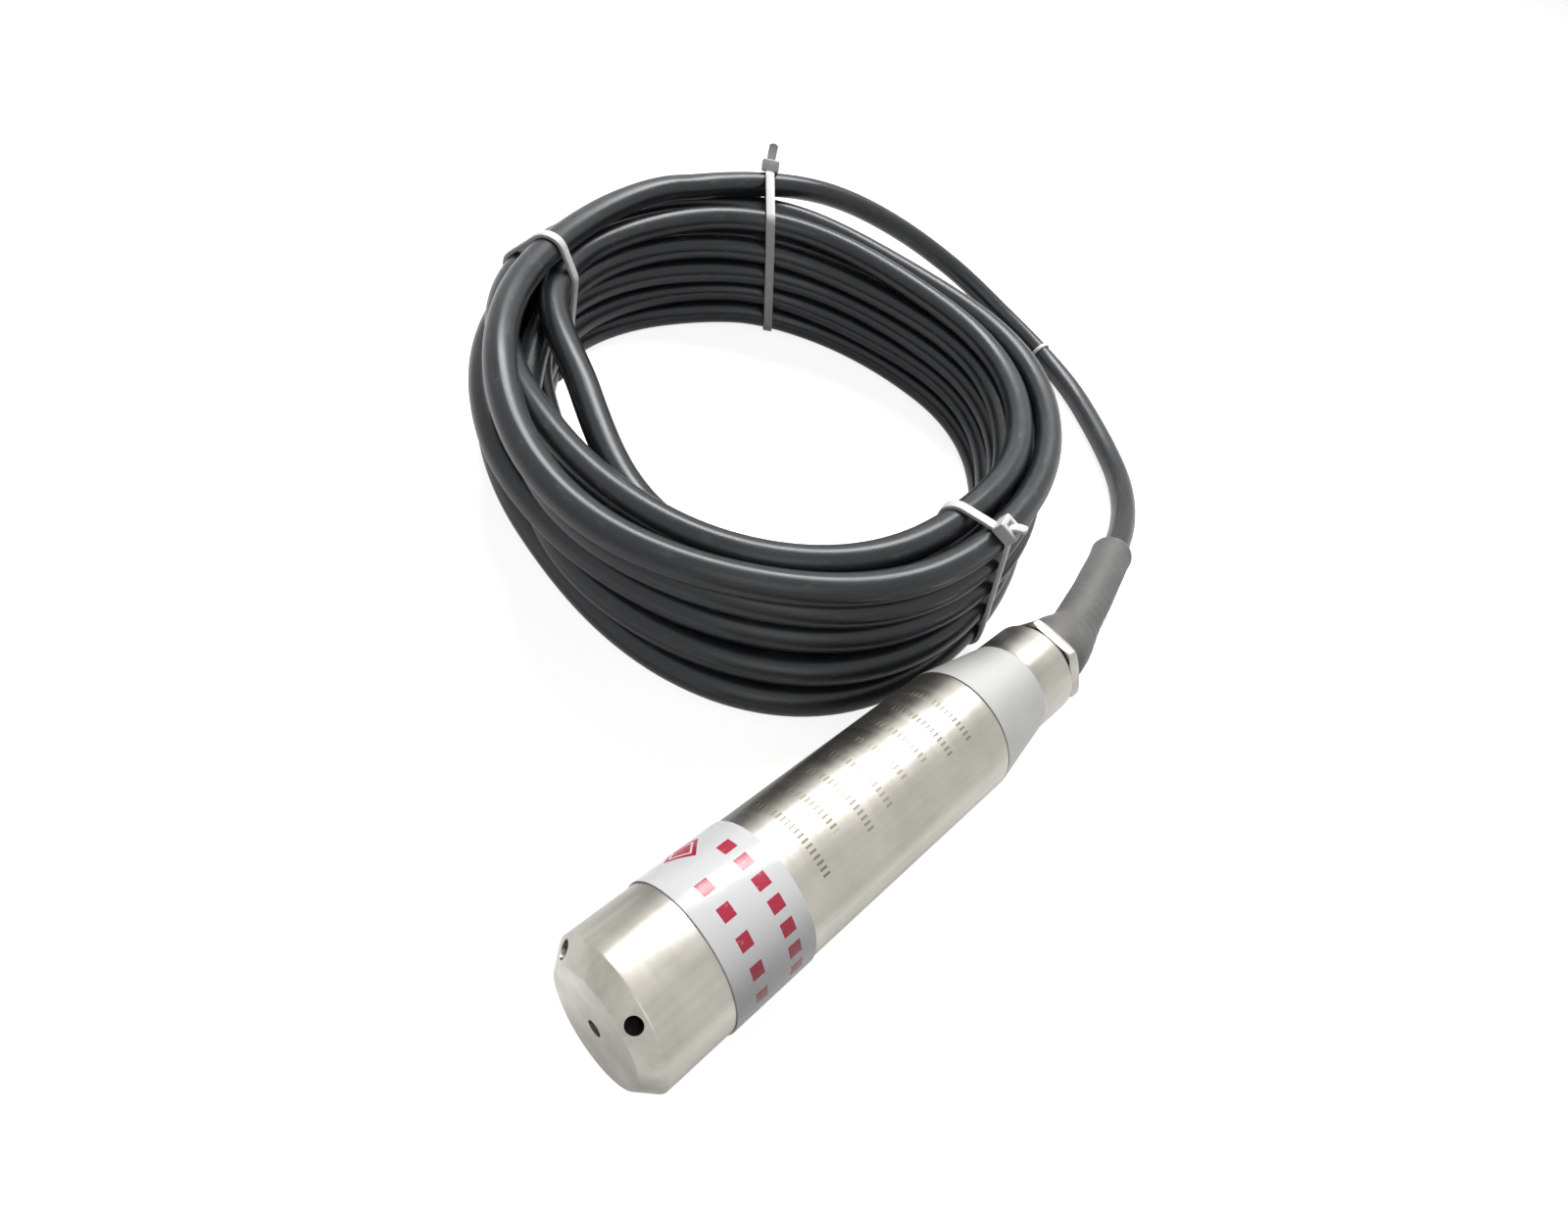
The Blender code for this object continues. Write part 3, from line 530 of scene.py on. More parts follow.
def hump(angle, middle, width, once=False):
    # 1 at the middle and falling to 0 on both sides, for degrees round the coil. Once is for a total angle
    # or a share, which doesn't come round again
    off = angle - middle if once else (angle - middle + 180.0) % 360.0 - 180.0
    return math.exp(-((off / width) ** 2))


def bulgeShares(height):
    # How much of each kind of bulge a turn of this height gets
    highFrom, rise = cable["highFrom"]
    leaningUnder, leanFall = cable["leaningUnder"]
    lowUnder, lowFall = cable["lowUnder"]
    return {
        "all": 1.0,
        "high": min(1.0, max(0.0, (height - highFrom) / rise)),
        "leaning": max(0.0, (leaningUnder - height) / leanFall),
        "low": max(0.0, (lowUnder - height) / lowFall),
    }


def coilPlan():
    # The turns before they settle, in millimetres
    turns = cable["turns"]
    centre = coilCentre
    step = 360.0 / cable["pointsPerTurn"]
    first, change, width = cable["leadEnd"], cable["turnChange"], cable["changeWidth"]
    last = change + 360.0 * (len(turns) - 2 + cable["lastTurnShare"])
    places = []
    for i in range(1, int((last - first) / step)):
        total = first + i * step
        degrees = total % 360.0
        angle = math.radians(total)
        index = math.floor((total - change) / 360.0) + 1
        radius, height = turns[index]
        # Near the change each turn slides to the place of the next
        fromChange = (total - change) % 360.0
        toChange = 360.0 - fromChange
        share, other = 0.0, index
        if toChange < width and index + 1 < len(turns):
            share, other = 0.5 * (1 - toChange / width) ** 2, index + 1
        elif fromChange < width and index > 0:
            share, other = 0.5 * (1 - fromChange / width) ** 2, index - 1
        radius += share * (turns[other][0] - radius)
        height += share * (turns[other][1] - height)
        shares = bulgeShares(height)
        for kind, outwards, middle, spread in cable["bulges"]:
            radius += outwards * shares[kind] * hump(degrees, middle, spread)
        for turn, outwards, upwards, middle, spread in cable["strays"]:
            size = hump(total, 360.0 * turn + middle, spread, True)
            radius += outwards * size
            height += upwards * size
        side, rise, drift = cable["wobble"]
        phase = drift * (total - change) / 360.0
        radius += side * math.sin(3 * angle + phase) * math.sin(angle * 0.5 + phase)
        height += rise * math.sin(2 * angle + 1.7 * phase)
        # Between the ties the lowest turns sink to the floor
        held = max(hump(degrees, place[2] % 360.0, cable["tieWidth"]) for place in tiePlaces)
        height -= cable["sink"] * (1 - held) * max(0.0, 1 - height / cable["sinkHeight"])
        places.append((centre[0] + radius * math.cos(angle), centre[1] + radius * math.sin(angle), height))
    return places


def restHeight(path):
    # The lowest the centre line may lie: on the floor, or on the strap of a tie
    centre = coilCentre * mm
    around = np.degrees(np.arctan2(path[:, 1] - centre[1], path[:, 0] - centre[0]))
    held = np.zeros(len(path))
    for place in tiePlaces:
        off = (around - place[2] + 180.0) % 360.0 - 180.0
        held = np.maximum(held, np.exp(-((off / cable["strapWidth"]) ** 2)))
    return cable["radius"] + 0.05 * mm + cable["sink"] * mm * held


def settleTurns(path, firstFree):
    # Pushes turns apart where they lie in each other, and keeps them on the floor
    plan = path.copy()
    apart = 2 * cable["radius"] + settling["clearance"]
    index = np.arange(len(path))
    notNear = np.abs(index[:, None] - index[None]) > settling["sameTurn"]
    free = np.clip((index - firstFree) / settling["easeIn"], 0.0, 1.0)[:, None]
    step = np.linalg.norm(path[1] - path[0])
    for turnOfWork in range(settling["steps"]):
        direction = np.gradient(path, axis=0)
        direction /= np.linalg.norm(direction, axis=1)[:, None]
        between = path[:, None] - path[None]
        along = np.einsum("ijk,ik->ij", between, direction)
        aside = between - along[..., None] * direction[:, None]
        far = np.linalg.norm(aside, axis=2) + 1e-9
        close = notNear & (np.abs(along) < 0.8 * step) & (far < apart)
        push = np.where(close, (apart - far) / far, 0.0)[..., None] * aside
        move = 0.5 * push.sum(axis=1) / np.maximum(1, close.sum(axis=1))[:, None]
        path = path + move * free
        offset = path - plan
        smoothed = offset.copy()
        smoothed[1:-1] = 0.25 * offset[:-2] + 0.5 * offset[1:-1] + 0.25 * offset[2:]
        kept = 1 - settling["smoothing"]
        path = plan + (kept * offset + settling["smoothing"] * smoothed) * settling["fade"]
        path[:, 2] = np.where(free[:, 0] > 0, np.maximum(path[:, 2], restHeight(path)), path[:, 2])
    return path


lead = smoothCurve(np.array(leadRoute) * mm)
inside = np.array([[x, 0.0, axisHeight] for x in (cable["startX"], cable["glandX"])])
plan = smoothCurve(np.vstack([lead[-1:], np.array(coilPlan()) * mm]), 4)
spacing = 2 * math.pi * cable["meanRadius"] / cable["pointsPerTurn"]
route = readEvenly(np.vstack([inside, lead, plan[1:]]), spacing)
route = settleTurns(route, int(settling["fixedLength"] / spacing))
cablePath = smoothCurve(route, 3)
print("cable settled:", len(route), "points")


def selectNone():
    bpy.ops.object.select_all(action="DESELECT")


def editMode():
    bpy.ops.object.mode_set(mode="EDIT")


def objectMode():
    bpy.ops.object.mode_set(mode="OBJECT")


def only(piece):
    selectNone()
    piece.select_set(True)
    bpy.context.view_layer.objects.active = piece


def faceOutwards(piece, merge=0.0):
    only(piece)
    editMode()
    bpy.ops.mesh.select_all(action="SELECT")
    if merge:
        bpy.ops.mesh.remove_doubles(threshold=merge)
    bpy.ops.mesh.normals_make_consistent(inside=False)
    objectMode()


def newPiece(name, verts, faces):
    mesh = bpy.data.meshes.new(name)
    mesh.from_pydata([tuple(vertex) for vertex in verts], [], faces)
    piece = link(bpy.data.objects.new(name, mesh))
    faceOutwards(piece)
    return piece


def bridged(rings, count, closed):
    # Faces between rings of count corners each, with an end cap at both ends unless the last meets the first
    faces = []
    for i in range(rings if closed else rings - 1):
        j = (i + 1) % rings
        for k in range(count):
            n = (k + 1) % count
            faces.append((i * count + k, i * count + n, j * count + n, j * count + k))
    if not closed:
        faces.append(tuple(range(count))[::-1])
        faces.append(tuple((rings - 1) * count + k for k in range(count)))
    return faces


def carriedFrames(path):
    # The path's direction and a side vector carried along it without twist
    way = np.gradient(path, axis=0)
    way /= np.linalg.norm(way, axis=1)[:, None]
    side = np.cross(way[0], (0.0, 0.0, 1.0))
    sides = []
    for direction in way:
        side = side - direction * side.dot(direction)
        side /= np.linalg.norm(side)
        sides.append(side)
    return way, np.array(sides)


def sweep(name, path, stations, sides, hollow=False):
    # A tube of changing radius along a path. Stations are (length along, radius), and a hollow
    # piece's stations go out along its outside and back along its bore
    path = np.array(path, float)
    lengths = measured(path)
    way, aside = carriedFrames(path)
    verts = []
    for reach, radius in stations:
        place, direction, side = (
            np.array([np.interp(reach, lengths, table[:, axis]) for axis in range(3)])
            for table in (path, way, aside)
        )
        over = np.cross(side, direction)
        for k in range(sides):
            turn = 2 * math.pi * k / sides
            verts.append(place + radius * (math.cos(turn) * side + math.sin(turn) * over))
    piece = newPiece(name, verts, bridged(len(stations), sides, hollow))
    mesh = piece.data
    layer = mesh.uv_layers.new(name="UVMap")
    for polygon in mesh.polygons:
        around = [mesh.loops[loop].vertex_index % sides for loop in polygon.loop_indices]
        crosses = len(around) == 4 and 0 in around and sides - 1 in around
        for loop in polygon.loop_indices:
            vertex = mesh.loops[loop].vertex_index
            k = vertex % sides
            if k == 0 and crosses:
                k = sides
            layer.data[loop].uv = (k / sides, stations[vertex // sides][0])
    mesh.shade_smooth()
    return piece


def modify(piece, kind, **values):
    # Adds a modifier and applies it
    only(piece)
    modifier = piece.modifiers.new(kind.lower(), kind)
    for name, value in values.items():
        setattr(modifier, name, value)
    bpy.ops.object.modifier_apply(modifier=modifier.name)


def finishPiece(piece, recipe, slot, *nodes, smooth=None):
    if smooth:
        only(piece)
        bpy.ops.object.shade_smooth_by_angle(angle=math.radians(smooth))
    piece.data.materials.clear()
    piece.data.materials.append(recipe.material)
    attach(piece, "root")
    if nodes:
        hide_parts(*nodes)
    return piece


# The cable's finish: near-black satin jacket with fine drawn lines and scuffs
jacket = {
    "colour": (0.017, 0.020, 0.022),
    "faded": (0.028, 0.032, 0.035),
    "worn": (0.085, 0.094, 0.098),
    "roughness": (0.26, 0.34),
    "specular": 0.44,
    "drawnDepth": 0.06 * mm,
    "grainDepth": 0.02 * mm,
}
jacketFinish = Recipe("cableJacket", jacket["colour"], jacket["roughness"][0])
jacketFinish.uv()
cloud = jacketFinish.noise(1.0, 4.0, (5.0, 60.0, 1.0))
drawn = jacketFinish.noise(1.0, 3.0, (70.0, 9.0, 1.0), 0.6)
grain = jacketFinish.noise(1.0, 3.0, (40.0, 1800.0, 1.0))
scuff = jacketFinish.span(jacketFinish.noise(1.0, 6.0, (14.0, 130.0, 1.0), 0.7), 0.56, 0.74)
tone = jacketFinish.blend(jacketFinish.span(cloud, 0.3, 0.7), jacket["colour"], jacket["faded"])
jacketFinish.colour(jacketFinish.blend(scuff, tone, jacket["worn"]))
rough = jacketFinish.span(cloud, 0.25, 0.75, *jacket["roughness"])
jacketFinish.roughness(jacketFinish.plus(rough, jacketFinish.times(scuff, 0.12)))
jacketFinish.shader.inputs["Specular IOR Level"].default_value = jacket["specular"]
jacketFinish.bump(drawn, 0.3, jacket["drawnDepth"])
jacketFinish.bump(grain, 0.25, jacket["grainDepth"])

cableLengths = measured(cablePath)
jacketEnd = cableLengths[-1]
full = cable["radius"]
cableStations = [(0.0, full - 0.4 * mm), (0.3 * mm, full)]
cableStations += [(s, full) for s in np.linspace(2.5 * mm, jacketEnd - 2.5 * mm, len(cablePath) - 4)]
cableStations += [(jacketEnd - 0.25 * mm, full), (jacketEnd, full - 0.25 * mm)]
cablePiece = sweep("cable", cablePath, cableStations, cable["sides"])
finishPiece(cablePiece, jacketFinish, "cable_jacket", "cable_lead", "cable_coil")
print("cable length:", round(jacketEnd, 3), "m")

# Shrink sleeve over the gland nut and the cable's first stretch
sleeve = {
    "start": 62.95 * mm,
    "length": 49.0 * mm,
    "sides": 64,
    # Share of the length, counted from the nut's end, and radius: outside, then bore
    "outline": (
        (-0.080, 7.9), (-0.076, 8.2), (-0.066, 8.35), (-0.03, 8.35), (0.01, 8.2), (0.05, 7.85), (0.09, 7.35),
        (0.13, 6.8), (0.17, 6.3), (0.22, 5.95), (0.28, 5.75), (0.36, 5.65), (0.48, 5.55), (0.60, 5.5),
        (0.72, 5.45), (0.84, 5.4), (0.92, 5.45), (0.965, 5.6), (0.985, 5.65), (0.996, 5.5), (1.0, 5.2),
    ),
    "bore": ((1.0, 3.75), (0.6, 3.75), (0.24, 3.75), (0.13, 5.4), (0.06, 6.5), (0.01, 7.46), (-0.080, 7.46)),
    "colour": (0.135, 0.134, 0.130),
    "faded": (0.170, 0.169, 0.164),
    "rubbed": (0.215, 0.215, 0.21),
    "crease": 0.16 * mm,
}
sleeveFinish = Recipe("shrunkSleeve", sleeve["colour"], 0.55)
sleeveFinish.uv()
fog = sleeveFinish.noise(1.0, 4.0, (4.0, 260.0, 1.0))
pores = sleeveFinish.noise(1.0, 3.0, (90.0, 3200.0, 1.0))
rub = sleeveFinish.span(sleeveFinish.noise(1.0, 5.0, (12.0, 420.0, 1.0), 0.7), 0.55, 0.75)
tone = sleeveFinish.blend(sleeveFinish.span(fog, 0.3, 0.7), sleeve["colour"], sleeve["faded"])
sleeveFinish.colour(sleeveFinish.blend(rub, tone, sleeve["rubbed"]))
sleeveFinish.roughness(sleeveFinish.span(fog, 0.3, 0.7, 0.46, 0.60))
sleeveFinish.bump(pores, 0.3, 0.00003)
sleeveFinish.bump(fog, 0.3, 0.00015)


def buildSleeve():
    begin = sleeve["start"] - cable["startX"]
    shares = [share for share, radius in sleeve["outline"]]
    radii = [radius * mm for share, radius in sleeve["outline"]]
    reads = sorted(set(shares) | {round(0.02 * i, 3) for i in range(50)})
    outside = [(begin + share * sleeve["length"], float(np.interp(share, shares, radii))) for share in reads]
    bore = [(begin + share * sleeve["length"], radius * mm) for share, radius in sleeve["bore"]]
    piece = sweep("shrink_sleeve_skin", cablePath, outside + bore, sleeve["sides"], hollow=True)
    # Soft creases that run round and along it, none on the bore
    count = sleeve["sides"]
    lengths, (way, aside) = measured(cablePath), carriedFrames(cablePath)
    for i, (reach, radius) in enumerate(outside):
        place = Vector([float(np.interp(reach, lengths, cablePath[:, axis])) for axis in range(3)])
        share = (reach - begin) / sleeve["length"]
        for k in range(count):
            vertex = piece.data.vertices[i * count + k]
            turn = 2 * math.pi * k / count
            ring = 0.35 * math.sin(95 * share + 1.3 * math.sin(turn)) * hump(share, 0.3, 0.22, True)
            fold = 0.5 * math.sin(3 * turn + 9 * share) * hump(share, 0.16, 0.12, True)
            bulge = 0.6 * math.sin(14 * share + turn) * math.sin(2 * turn + 4 * share)
            vertex.co += (vertex.co - place).normalized() * sleeve["crease"] * (ring + fold + bulge)
    piece.data.shade_smooth()
    return finishPiece(piece, sleeveFinish, "shrink_sleeve", "shrink_sleeve")


sleevePiece = buildSleeve()
print("sleeve ready")

# White marker ring on the lead
nylonFinish = slotFinish["white_nylon"]
marker = {"place": 158.0 * mm, "width": 1.4 * mm, "thickness": 0.5 * mm, "round": 0.2 * mm}


def buildMarker():
    begin = sleeve["start"] - cable["startX"] + marker["place"]
    end = begin + marker["width"]
    bore = cable["radius"] + 0.02 * mm
    outer = bore + marker["thickness"]
    edge = marker["round"]
    bit = 0.3 * edge
    stations = [(begin, bore), (begin, outer - edge), (begin + bit, outer - bit), (begin + edge, outer)]
    stations += [(end - edge, outer), (end - bit, outer - bit), (end, outer - edge), (end, bore)]
    piece = sweep("marker_ring", cablePath, stations, 48, hollow=True)
    return finishPiece(piece, nylonFinish, "white_nylon", "cable_marker", smooth=40)


markerPiece = buildMarker()

# Cable ties: straps drawn taut round the strands they hold
ties = {
    "width": 2.7 * mm,
    "thickness": 1.0 * mm,
    "clearance": 0.05 * mm,
    "reach": 92.0 * mm,  # strands further than this from the coil's axis aren't held
    "headSize": (5.4 * mm, 5.0 * mm, 3.6 * mm),
    "turnAbout": 70.0 * mm,  # a skewed strap turns about a point this far from the axis
}


def strandCrossings(foot, beside):
    # Where the cable crosses the upright plane through foot along beside: (distance from foot, height)
    across = np.array([-beside.y, beside.x])
    offset = cablePath[:, :2] - np.array(foot.xy)
    ahead, out = offset @ across, offset @ np.array(beside.xy)
    found = []
    for i in range(len(cablePath) - 1):
        if ahead[i] * ahead[i + 1] <= 0 and ahead[i] != ahead[i + 1] and out[i] > 0:
            share = ahead[i] / (ahead[i] - ahead[i + 1])
            distance = out[i] + share * (out[i + 1] - out[i])
            height = cablePath[i, 2] + share * (cablePath[i + 1, 2] - cablePath[i, 2])
            if distance < ties["reach"]:
                found.append((distance, height))
    return found


def tautOutline(circles, grow, reads=72):
    # The closed outline of a band drawn taut round circles, with even directions
    points = []
    for x, y in circles:
        for i in range(reads):
            turn = 2 * math.pi * i / reads
            reach = cable["radius"] + grow
            points.append((x + reach * math.cos(turn), y + reach * math.sin(turn)))
    outline = []
    for ordered in (sorted(points), sorted(points, reverse=True)):
        side = []
        for x, y in ordered:
            while len(side) > 1:
                (ax, ay), (bx, by) = side[-2:]
                if (bx - ax) * (y - ay) - (by - ay) * (x - ax) > 1e-12:
                    break
                side.pop()
            side.append((x, y))
        outline += side[:-1]
    return outline


def flatBand(name, rows, closed, width, thickness):
    # A flat strap. Rows are (place, outward, along the width), and its corners are rounded
    corner = 0.25 * thickness
    half, full = width / 2, thickness
    section = [
        (-half + corner, 0), (half - corner, 0), (half - 0.3 * corner, 0.3 * corner), (half, corner),
        (half, full - corner), (half - 0.3 * corner, full - 0.3 * corner), (half - corner, full),
        (-half + corner, full), (-half + 0.3 * corner, full - 0.3 * corner), (-half, full - corner),
        (-half, corner), (-half + 0.3 * corner, 0.3 * corner),
    ]
    verts = []
    for place, outward, across, narrow in rows:
        for w, t in section:
            verts.append(place + across * w * narrow + outward * t)
    return newPiece(name, verts, bridged(len(rows), len(section), closed))


def buildHead(name, place, along, outward, across):
    # The tie's head: a block with bevelled edges and the slot that the tail leaves by
    selectNone()
    bpy.ops.mesh.primitive_cube_add(size=1.0)
    head = bpy.context.object
    head.name = name
    length, wide, high = ties["headSize"]
    editMode()
    bpy.ops.mesh.select_all(action="SELECT")
    bpy.ops.transform.resize(value=(length, wide, high))
    bpy.ops.mesh.bevel(offset=0.45 * mm, segments=3, affect="EDGES")
    bpy.ops.mesh.select_all(action="DESELECT")
    objectMode()
    for polygon in head.data.polygons:
        polygon.select = polygon.normal.z > 0.99
    editMode()
    bpy.ops.mesh.select_mode(type="FACE")
    bpy.ops.mesh.inset(thickness=0.75 * mm, depth=0.0)
    bpy.ops.mesh.inset(thickness=0.02 * mm, depth=-1.2 * mm)
    objectMode()
    turn = Matrix((along, across, outward)).transposed().to_4x4()
    head.data.transform(Matrix.Translation(place) @ turn)
    head.location = (0, 0, 0)
    faceOutwards(head)
    return head


def buildTie(name, node, degrees, skew, lean, headAt, tailLength, tailBend):
    angle = math.radians(degrees)
    centre = Vector((*coilCentre * mm, 0.0))
    radial = Vector((math.cos(angle), math.sin(angle), 0.0))
    turned = angle + math.radians(skew)
    beside = Vector((math.cos(turned), math.sin(turned), 0.0))
    foot = centre + (radial - beside) * ties["turnAbout"]
    across = Vector((-beside.y, beside.x, 0.0))
    upward = Vector((0, 0, 1))
    circles = strandCrossings(foot, beside)
    outline = tautOutline(circles, ties["clearance"])
    count = len(outline)
    top = max(y for x, y in outline)
    rows, spots = [], []
    for i, (x, y) in enumerate(outline):
        before, after = outline[i - 1], outline[(i + 1) % count]
        alongX, alongY = after[0] - before[0], after[1] - before[1]
        size = math.hypot(alongX, alongY)
        outward = beside * (alongY / size) - upward * (alongX / size)
        rows.append((foot + beside * x + upward * y + across * lean * (y - top), outward, across, 1.0))
        spots.append((math.atan2(-alongX, alongY), i))
    strap = flatBand(name, rows, True, ties["width"], ties["thickness"])
    wanted = math.radians(headAt)
    index = min(spots, key=lambda spot: abs((spot[0] - wanted + math.pi) % (2 * math.pi) - math.pi))[1]
    place, outward, _, _ = rows[index]
    along = across.cross(outward)  # towards the top from outside, and on towards the coil's axis
    high = ties["headSize"][2]
    middle = place + outward * (0.1 * mm + high / 2)
    head = buildHead(f"{name}_head", middle, along, outward, across)
    # The cut tail leaves the head and bends over
    spot = place + outward * high * 0.6
    tailRows = []
    steps = 30
    for i in range(steps + 1):
        share = i / steps
        bend = tailBend * min(1.0, 1.6 * share)
        heading = outward * math.cos(bend) + along * math.sin(bend)
        facing = along * math.cos(bend) - outward * math.sin(bend)
        spot = spot + heading * (tailLength / steps)
        ridge = 0.10 * mm * (i % 2)
        tip = math.sqrt(max(0.0, 1 - ((share - 0.86) / 0.14) ** 2)) if share > 0.86 else 1.0
        tailRows.append((spot + facing * (ridge - 0.45 * mm), facing, across, max(0.3, tip)))
    tail = flatBand(f"{name}_tail", tailRows, False, ties["width"], 0.9 * mm)
    only(strap)
    head.select_set(True)
    tail.select_set(True)
    bpy.ops.object.join()
    print(name, "holds", len(circles), "strands")
    return finishPiece(strap, nylonFinish, "white_nylon", node, smooth=40)


tiePieces = [buildTie(*place) for place in tiePlaces]

# The cable's bare far end: two cores with bare copper tips, and the vent tube
bareEnd = {
    # piece, slot, distance towards the coil's axis, height over the cable's axis, length, radius, how far it
    # bends away inwards
    "strands": (
        ("far_core_red", "wire_red", 0.2 * mm, 1.4 * mm, 15.0 * mm, 0.80 * mm, 2.6 * mm),
        ("far_core_black", "wire_black", 1.5 * mm, -0.6 * mm, 17.0 * mm, 0.80 * mm, 6.0 * mm),
        ("far_vent_tube", "vent_tube_plastic", -1.3 * mm, -0.6 * mm, 10.0 * mm, 1.10 * mm, 0.4 * mm),
    ),
    "copper": 5.0 * mm,
    "copperRadius": 0.42 * mm,
    "overlap": 0.6 * mm,
}
copperFinish = plainRecipe("copperStrands", (0.78, 0.42, 0.27), 0.34, 1.0, 0.06, 2400.0, 0.00004)


def buildBareEnd():
    centre = coilCentre * mm
    end = cablePath[-1]
    reach = math.hypot(*(end[:2] - centre))
    begin = math.atan2(end[1] - centre[1], end[0] - centre[0])
    pieces = []
    for name, slot, inwards, rise, length, radius, away in bareEnd["strands"]:
        path = []
        for s in np.linspace(-bareEnd["overlap"], length + bareEnd["copper"], 40):
            share = max(0.0, s / length)
            turn = begin + s / reach
            out = reach - inwards - away * share**2
            sag = min(1.0, share) ** 2 * (3 - 2 * min(1.0, share))
            height = (1 - sag) * (end[2] + rise) + sag * (radius + 0.1 * mm)
            path.append((centre[0] + out * math.cos(turn), centre[1] + out * math.sin(turn), height))
        edge = 0.12 * mm
        stations = [(s, radius) for s in np.linspace(0.0, length - edge, 24)] + [(length, radius - edge)]
        strand = sweep(name, path, stations, 20)
        pieces.append(finishPiece(strand, slotFinish[slot], slot, smooth=50))
        if slot == "vent_tube_plastic":
            continue
        thin, stop = bareEnd["copperRadius"], length + bareEnd["copper"]
        stations = [(s, thin) for s in np.linspace(length - edge, stop - edge, 12)] + [(stop, thin - edge)]
        tip = sweep(name.replace("core", "copper"), path, stations, 14)
        pieces.append(finishPiece(tip, copperFinish, "brass", smooth=50))
    return pieces


bareEndPieces = buildBareEnd()


# Probe: each part is a profile spun round the axis, with its small edge roundings, all in millimetres. Bores
# and shoulders that don't show are as the solids have them
probe = {
    "radius": 14.0,
    "chamfer": 3.2,
    "capLength": 24.0,
    "housing": (24.3, 88.0),
    "tail": (88.3, 106.3, 116.9),
    "tailRadius": 10.9,
    "portRadius": 1.5,
    "portTurn": math.radians(28),
    "film": (16.0, 33.0, 14.1, 14.3),
    "nut": (118.5, 121.3, 125.3),  # start, collar, end
    "nutFlats": 19.0,
    "nutTurn": math.radians(12),
}


def rounded(profile):
    # The outline of a profile of (along from the nose, radius, rounding), with an arc at each rounded corner
    points = []
    for i, (along, radius, rounding) in enumerate(profile):
        if not rounding:
            points.append((along, radius))
            continue
        here = Vector((along, radius))
        before = (Vector(profile[i - 1][:2]) - here).normalized()
        after = (Vector(profile[(i + 1) % len(profile)][:2]) - here).normalized()
        for share in (0.0, 0.25, 0.5, 0.75, 1.0):
            first = here + before * rounding * (1 - share)
            second = here + after * rounding * share
            points.append(tuple(first.lerp(second, share)))
    return points


def spun(name, profile, sides=128, closed=True):
    # A ring of vertices set to the rounded profile and spun round the probe's axis
    profile = rounded(profile)
    selectNone()
    bpy.ops.mesh.primitive_circle_add(vertices=len(profile), radius=0.01)
    piece = bpy.context.object
    piece.name = name
    for vertex, (along, radius) in zip(piece.data.vertices, profile):
        vertex.co = (noseEnd + along * mm, 0.0, axisHeight + radius * mm)
    if not closed:
        editMode()
        bpy.ops.mesh.select_mode(type="EDGE")
        bpy.ops.mesh.select_all(action="DESELECT")
        objectMode()
        for edge in piece.data.edges:
            edge.select = set(edge.vertices) == {0, len(profile) - 1}
        editMode()
        bpy.ops.mesh.delete(type="EDGE_FACE")
        objectMode()
    editMode()
    bpy.ops.mesh.select_mode(type="VERT")
    bpy.ops.mesh.select_all(action="SELECT")
    bpy.ops.mesh.spin(steps=sides, angle=2 * math.pi, center=(0, 0, axisHeight), axis=(1, 0, 0))
    objectMode()
    faceOutwards(piece, 0.004 * mm)
    return piece


def cutter(place, radius, depth, rotation, vertices=48):
    selectNone()
    bpy.ops.mesh.primitive_cylinder_add(
        vertices=vertices, radius=radius, depth=depth, location=place, rotation=rotation
    )
    return bpy.context.object


def combine(piece, tool, operation="DIFFERENCE"):
    modify(piece, "BOOLEAN", operation=operation, solver="EXACT", object=tool)
    bpy.data.objects.remove(tool, do_unlink=True)


def buildNoseCap():
    radius, chamfer, length = probe["radius"], probe["chamfer"], probe["capLength"]
    cap = spun("nose_cap_turned", [
        (3.5, 0.0, 0), (3.5, 9.5, 0.2), (13.0, 9.5, 0), (13.0, 12.5, 0), (length, 12.5, 0.15),
        (length, radius, 0.18), (chamfer, radius, 0.25), (0.0, radius - chamfer, 0.25), (0.0, 0.0, 0),
    ], closed=False)
    face, port = Vector((noseEnd, 0, axisHeight)), probe["portRadius"] * mm
    combine(cap, cutter(face, port, 12 * mm, (0, math.pi / 2, 0)))
    for i in range(4):
        turn = probe["portTurn"] + i * math.pi / 2
        outward = Vector((0.0, -math.sin(turn), math.cos(turn)))
        place = face + Vector((chamfer / 2 * mm, 0, 0)) + outward * (radius - chamfer / 2) * mm
        drill = (outward - Vector((1, 0, 0))).normalized()
        combine(cap, cutter(place, port, 11 * mm, drill.to_track_quat("Z", "Y").to_euler()))
    modify(cap, "BEVEL", width=0.22 * mm, segments=2, limit_method="ANGLE", angle_limit=math.radians(42))
    return finishPiece(cap, turnedSteel, "turned_steel", "nose_cap", smooth=28)


def buildHousing():
    start, end = probe["housing"]
    radius = probe["radius"]
    tube = spun("housing_turned", [
        (end, radius, 0.18), (start, radius, 0.18), (start, 12.2, 0), (13.3, 12.2, 0.2), (13.3, 9.8, 0),
        (29.6, 9.8, 0), (29.6, 8.2, 0), (31.6, 8.2, 0), (31.6, 12.0, 0), (end, 12.0, 0.1),
    ])
    return finishPiece(tube, markedSteel, "turned_steel", "housing_tube", smooth=28)


def buildTail():
    start, taperEnd, end = probe["tail"]
    small = probe["tailRadius"]
    fitting = spun("tail_turned", [
        (end, small, 0.3), (taperEnd, small, 0.8), (start, probe["radius"], 0.2), (start, 11.7, 0),
        (78.3, 11.7, 0.2), (78.3, 9.3, 0), (103.3, 9.3, 0), (103.3, 3.9, 0.1), (106.0, 3.9, 0),
        (106.0, 7.3, 0), (end, 7.3, 0.15),
    ])
    return finishPiece(fitting, tailSteel, "frosted_steel", "tail_fitting", smooth=28)


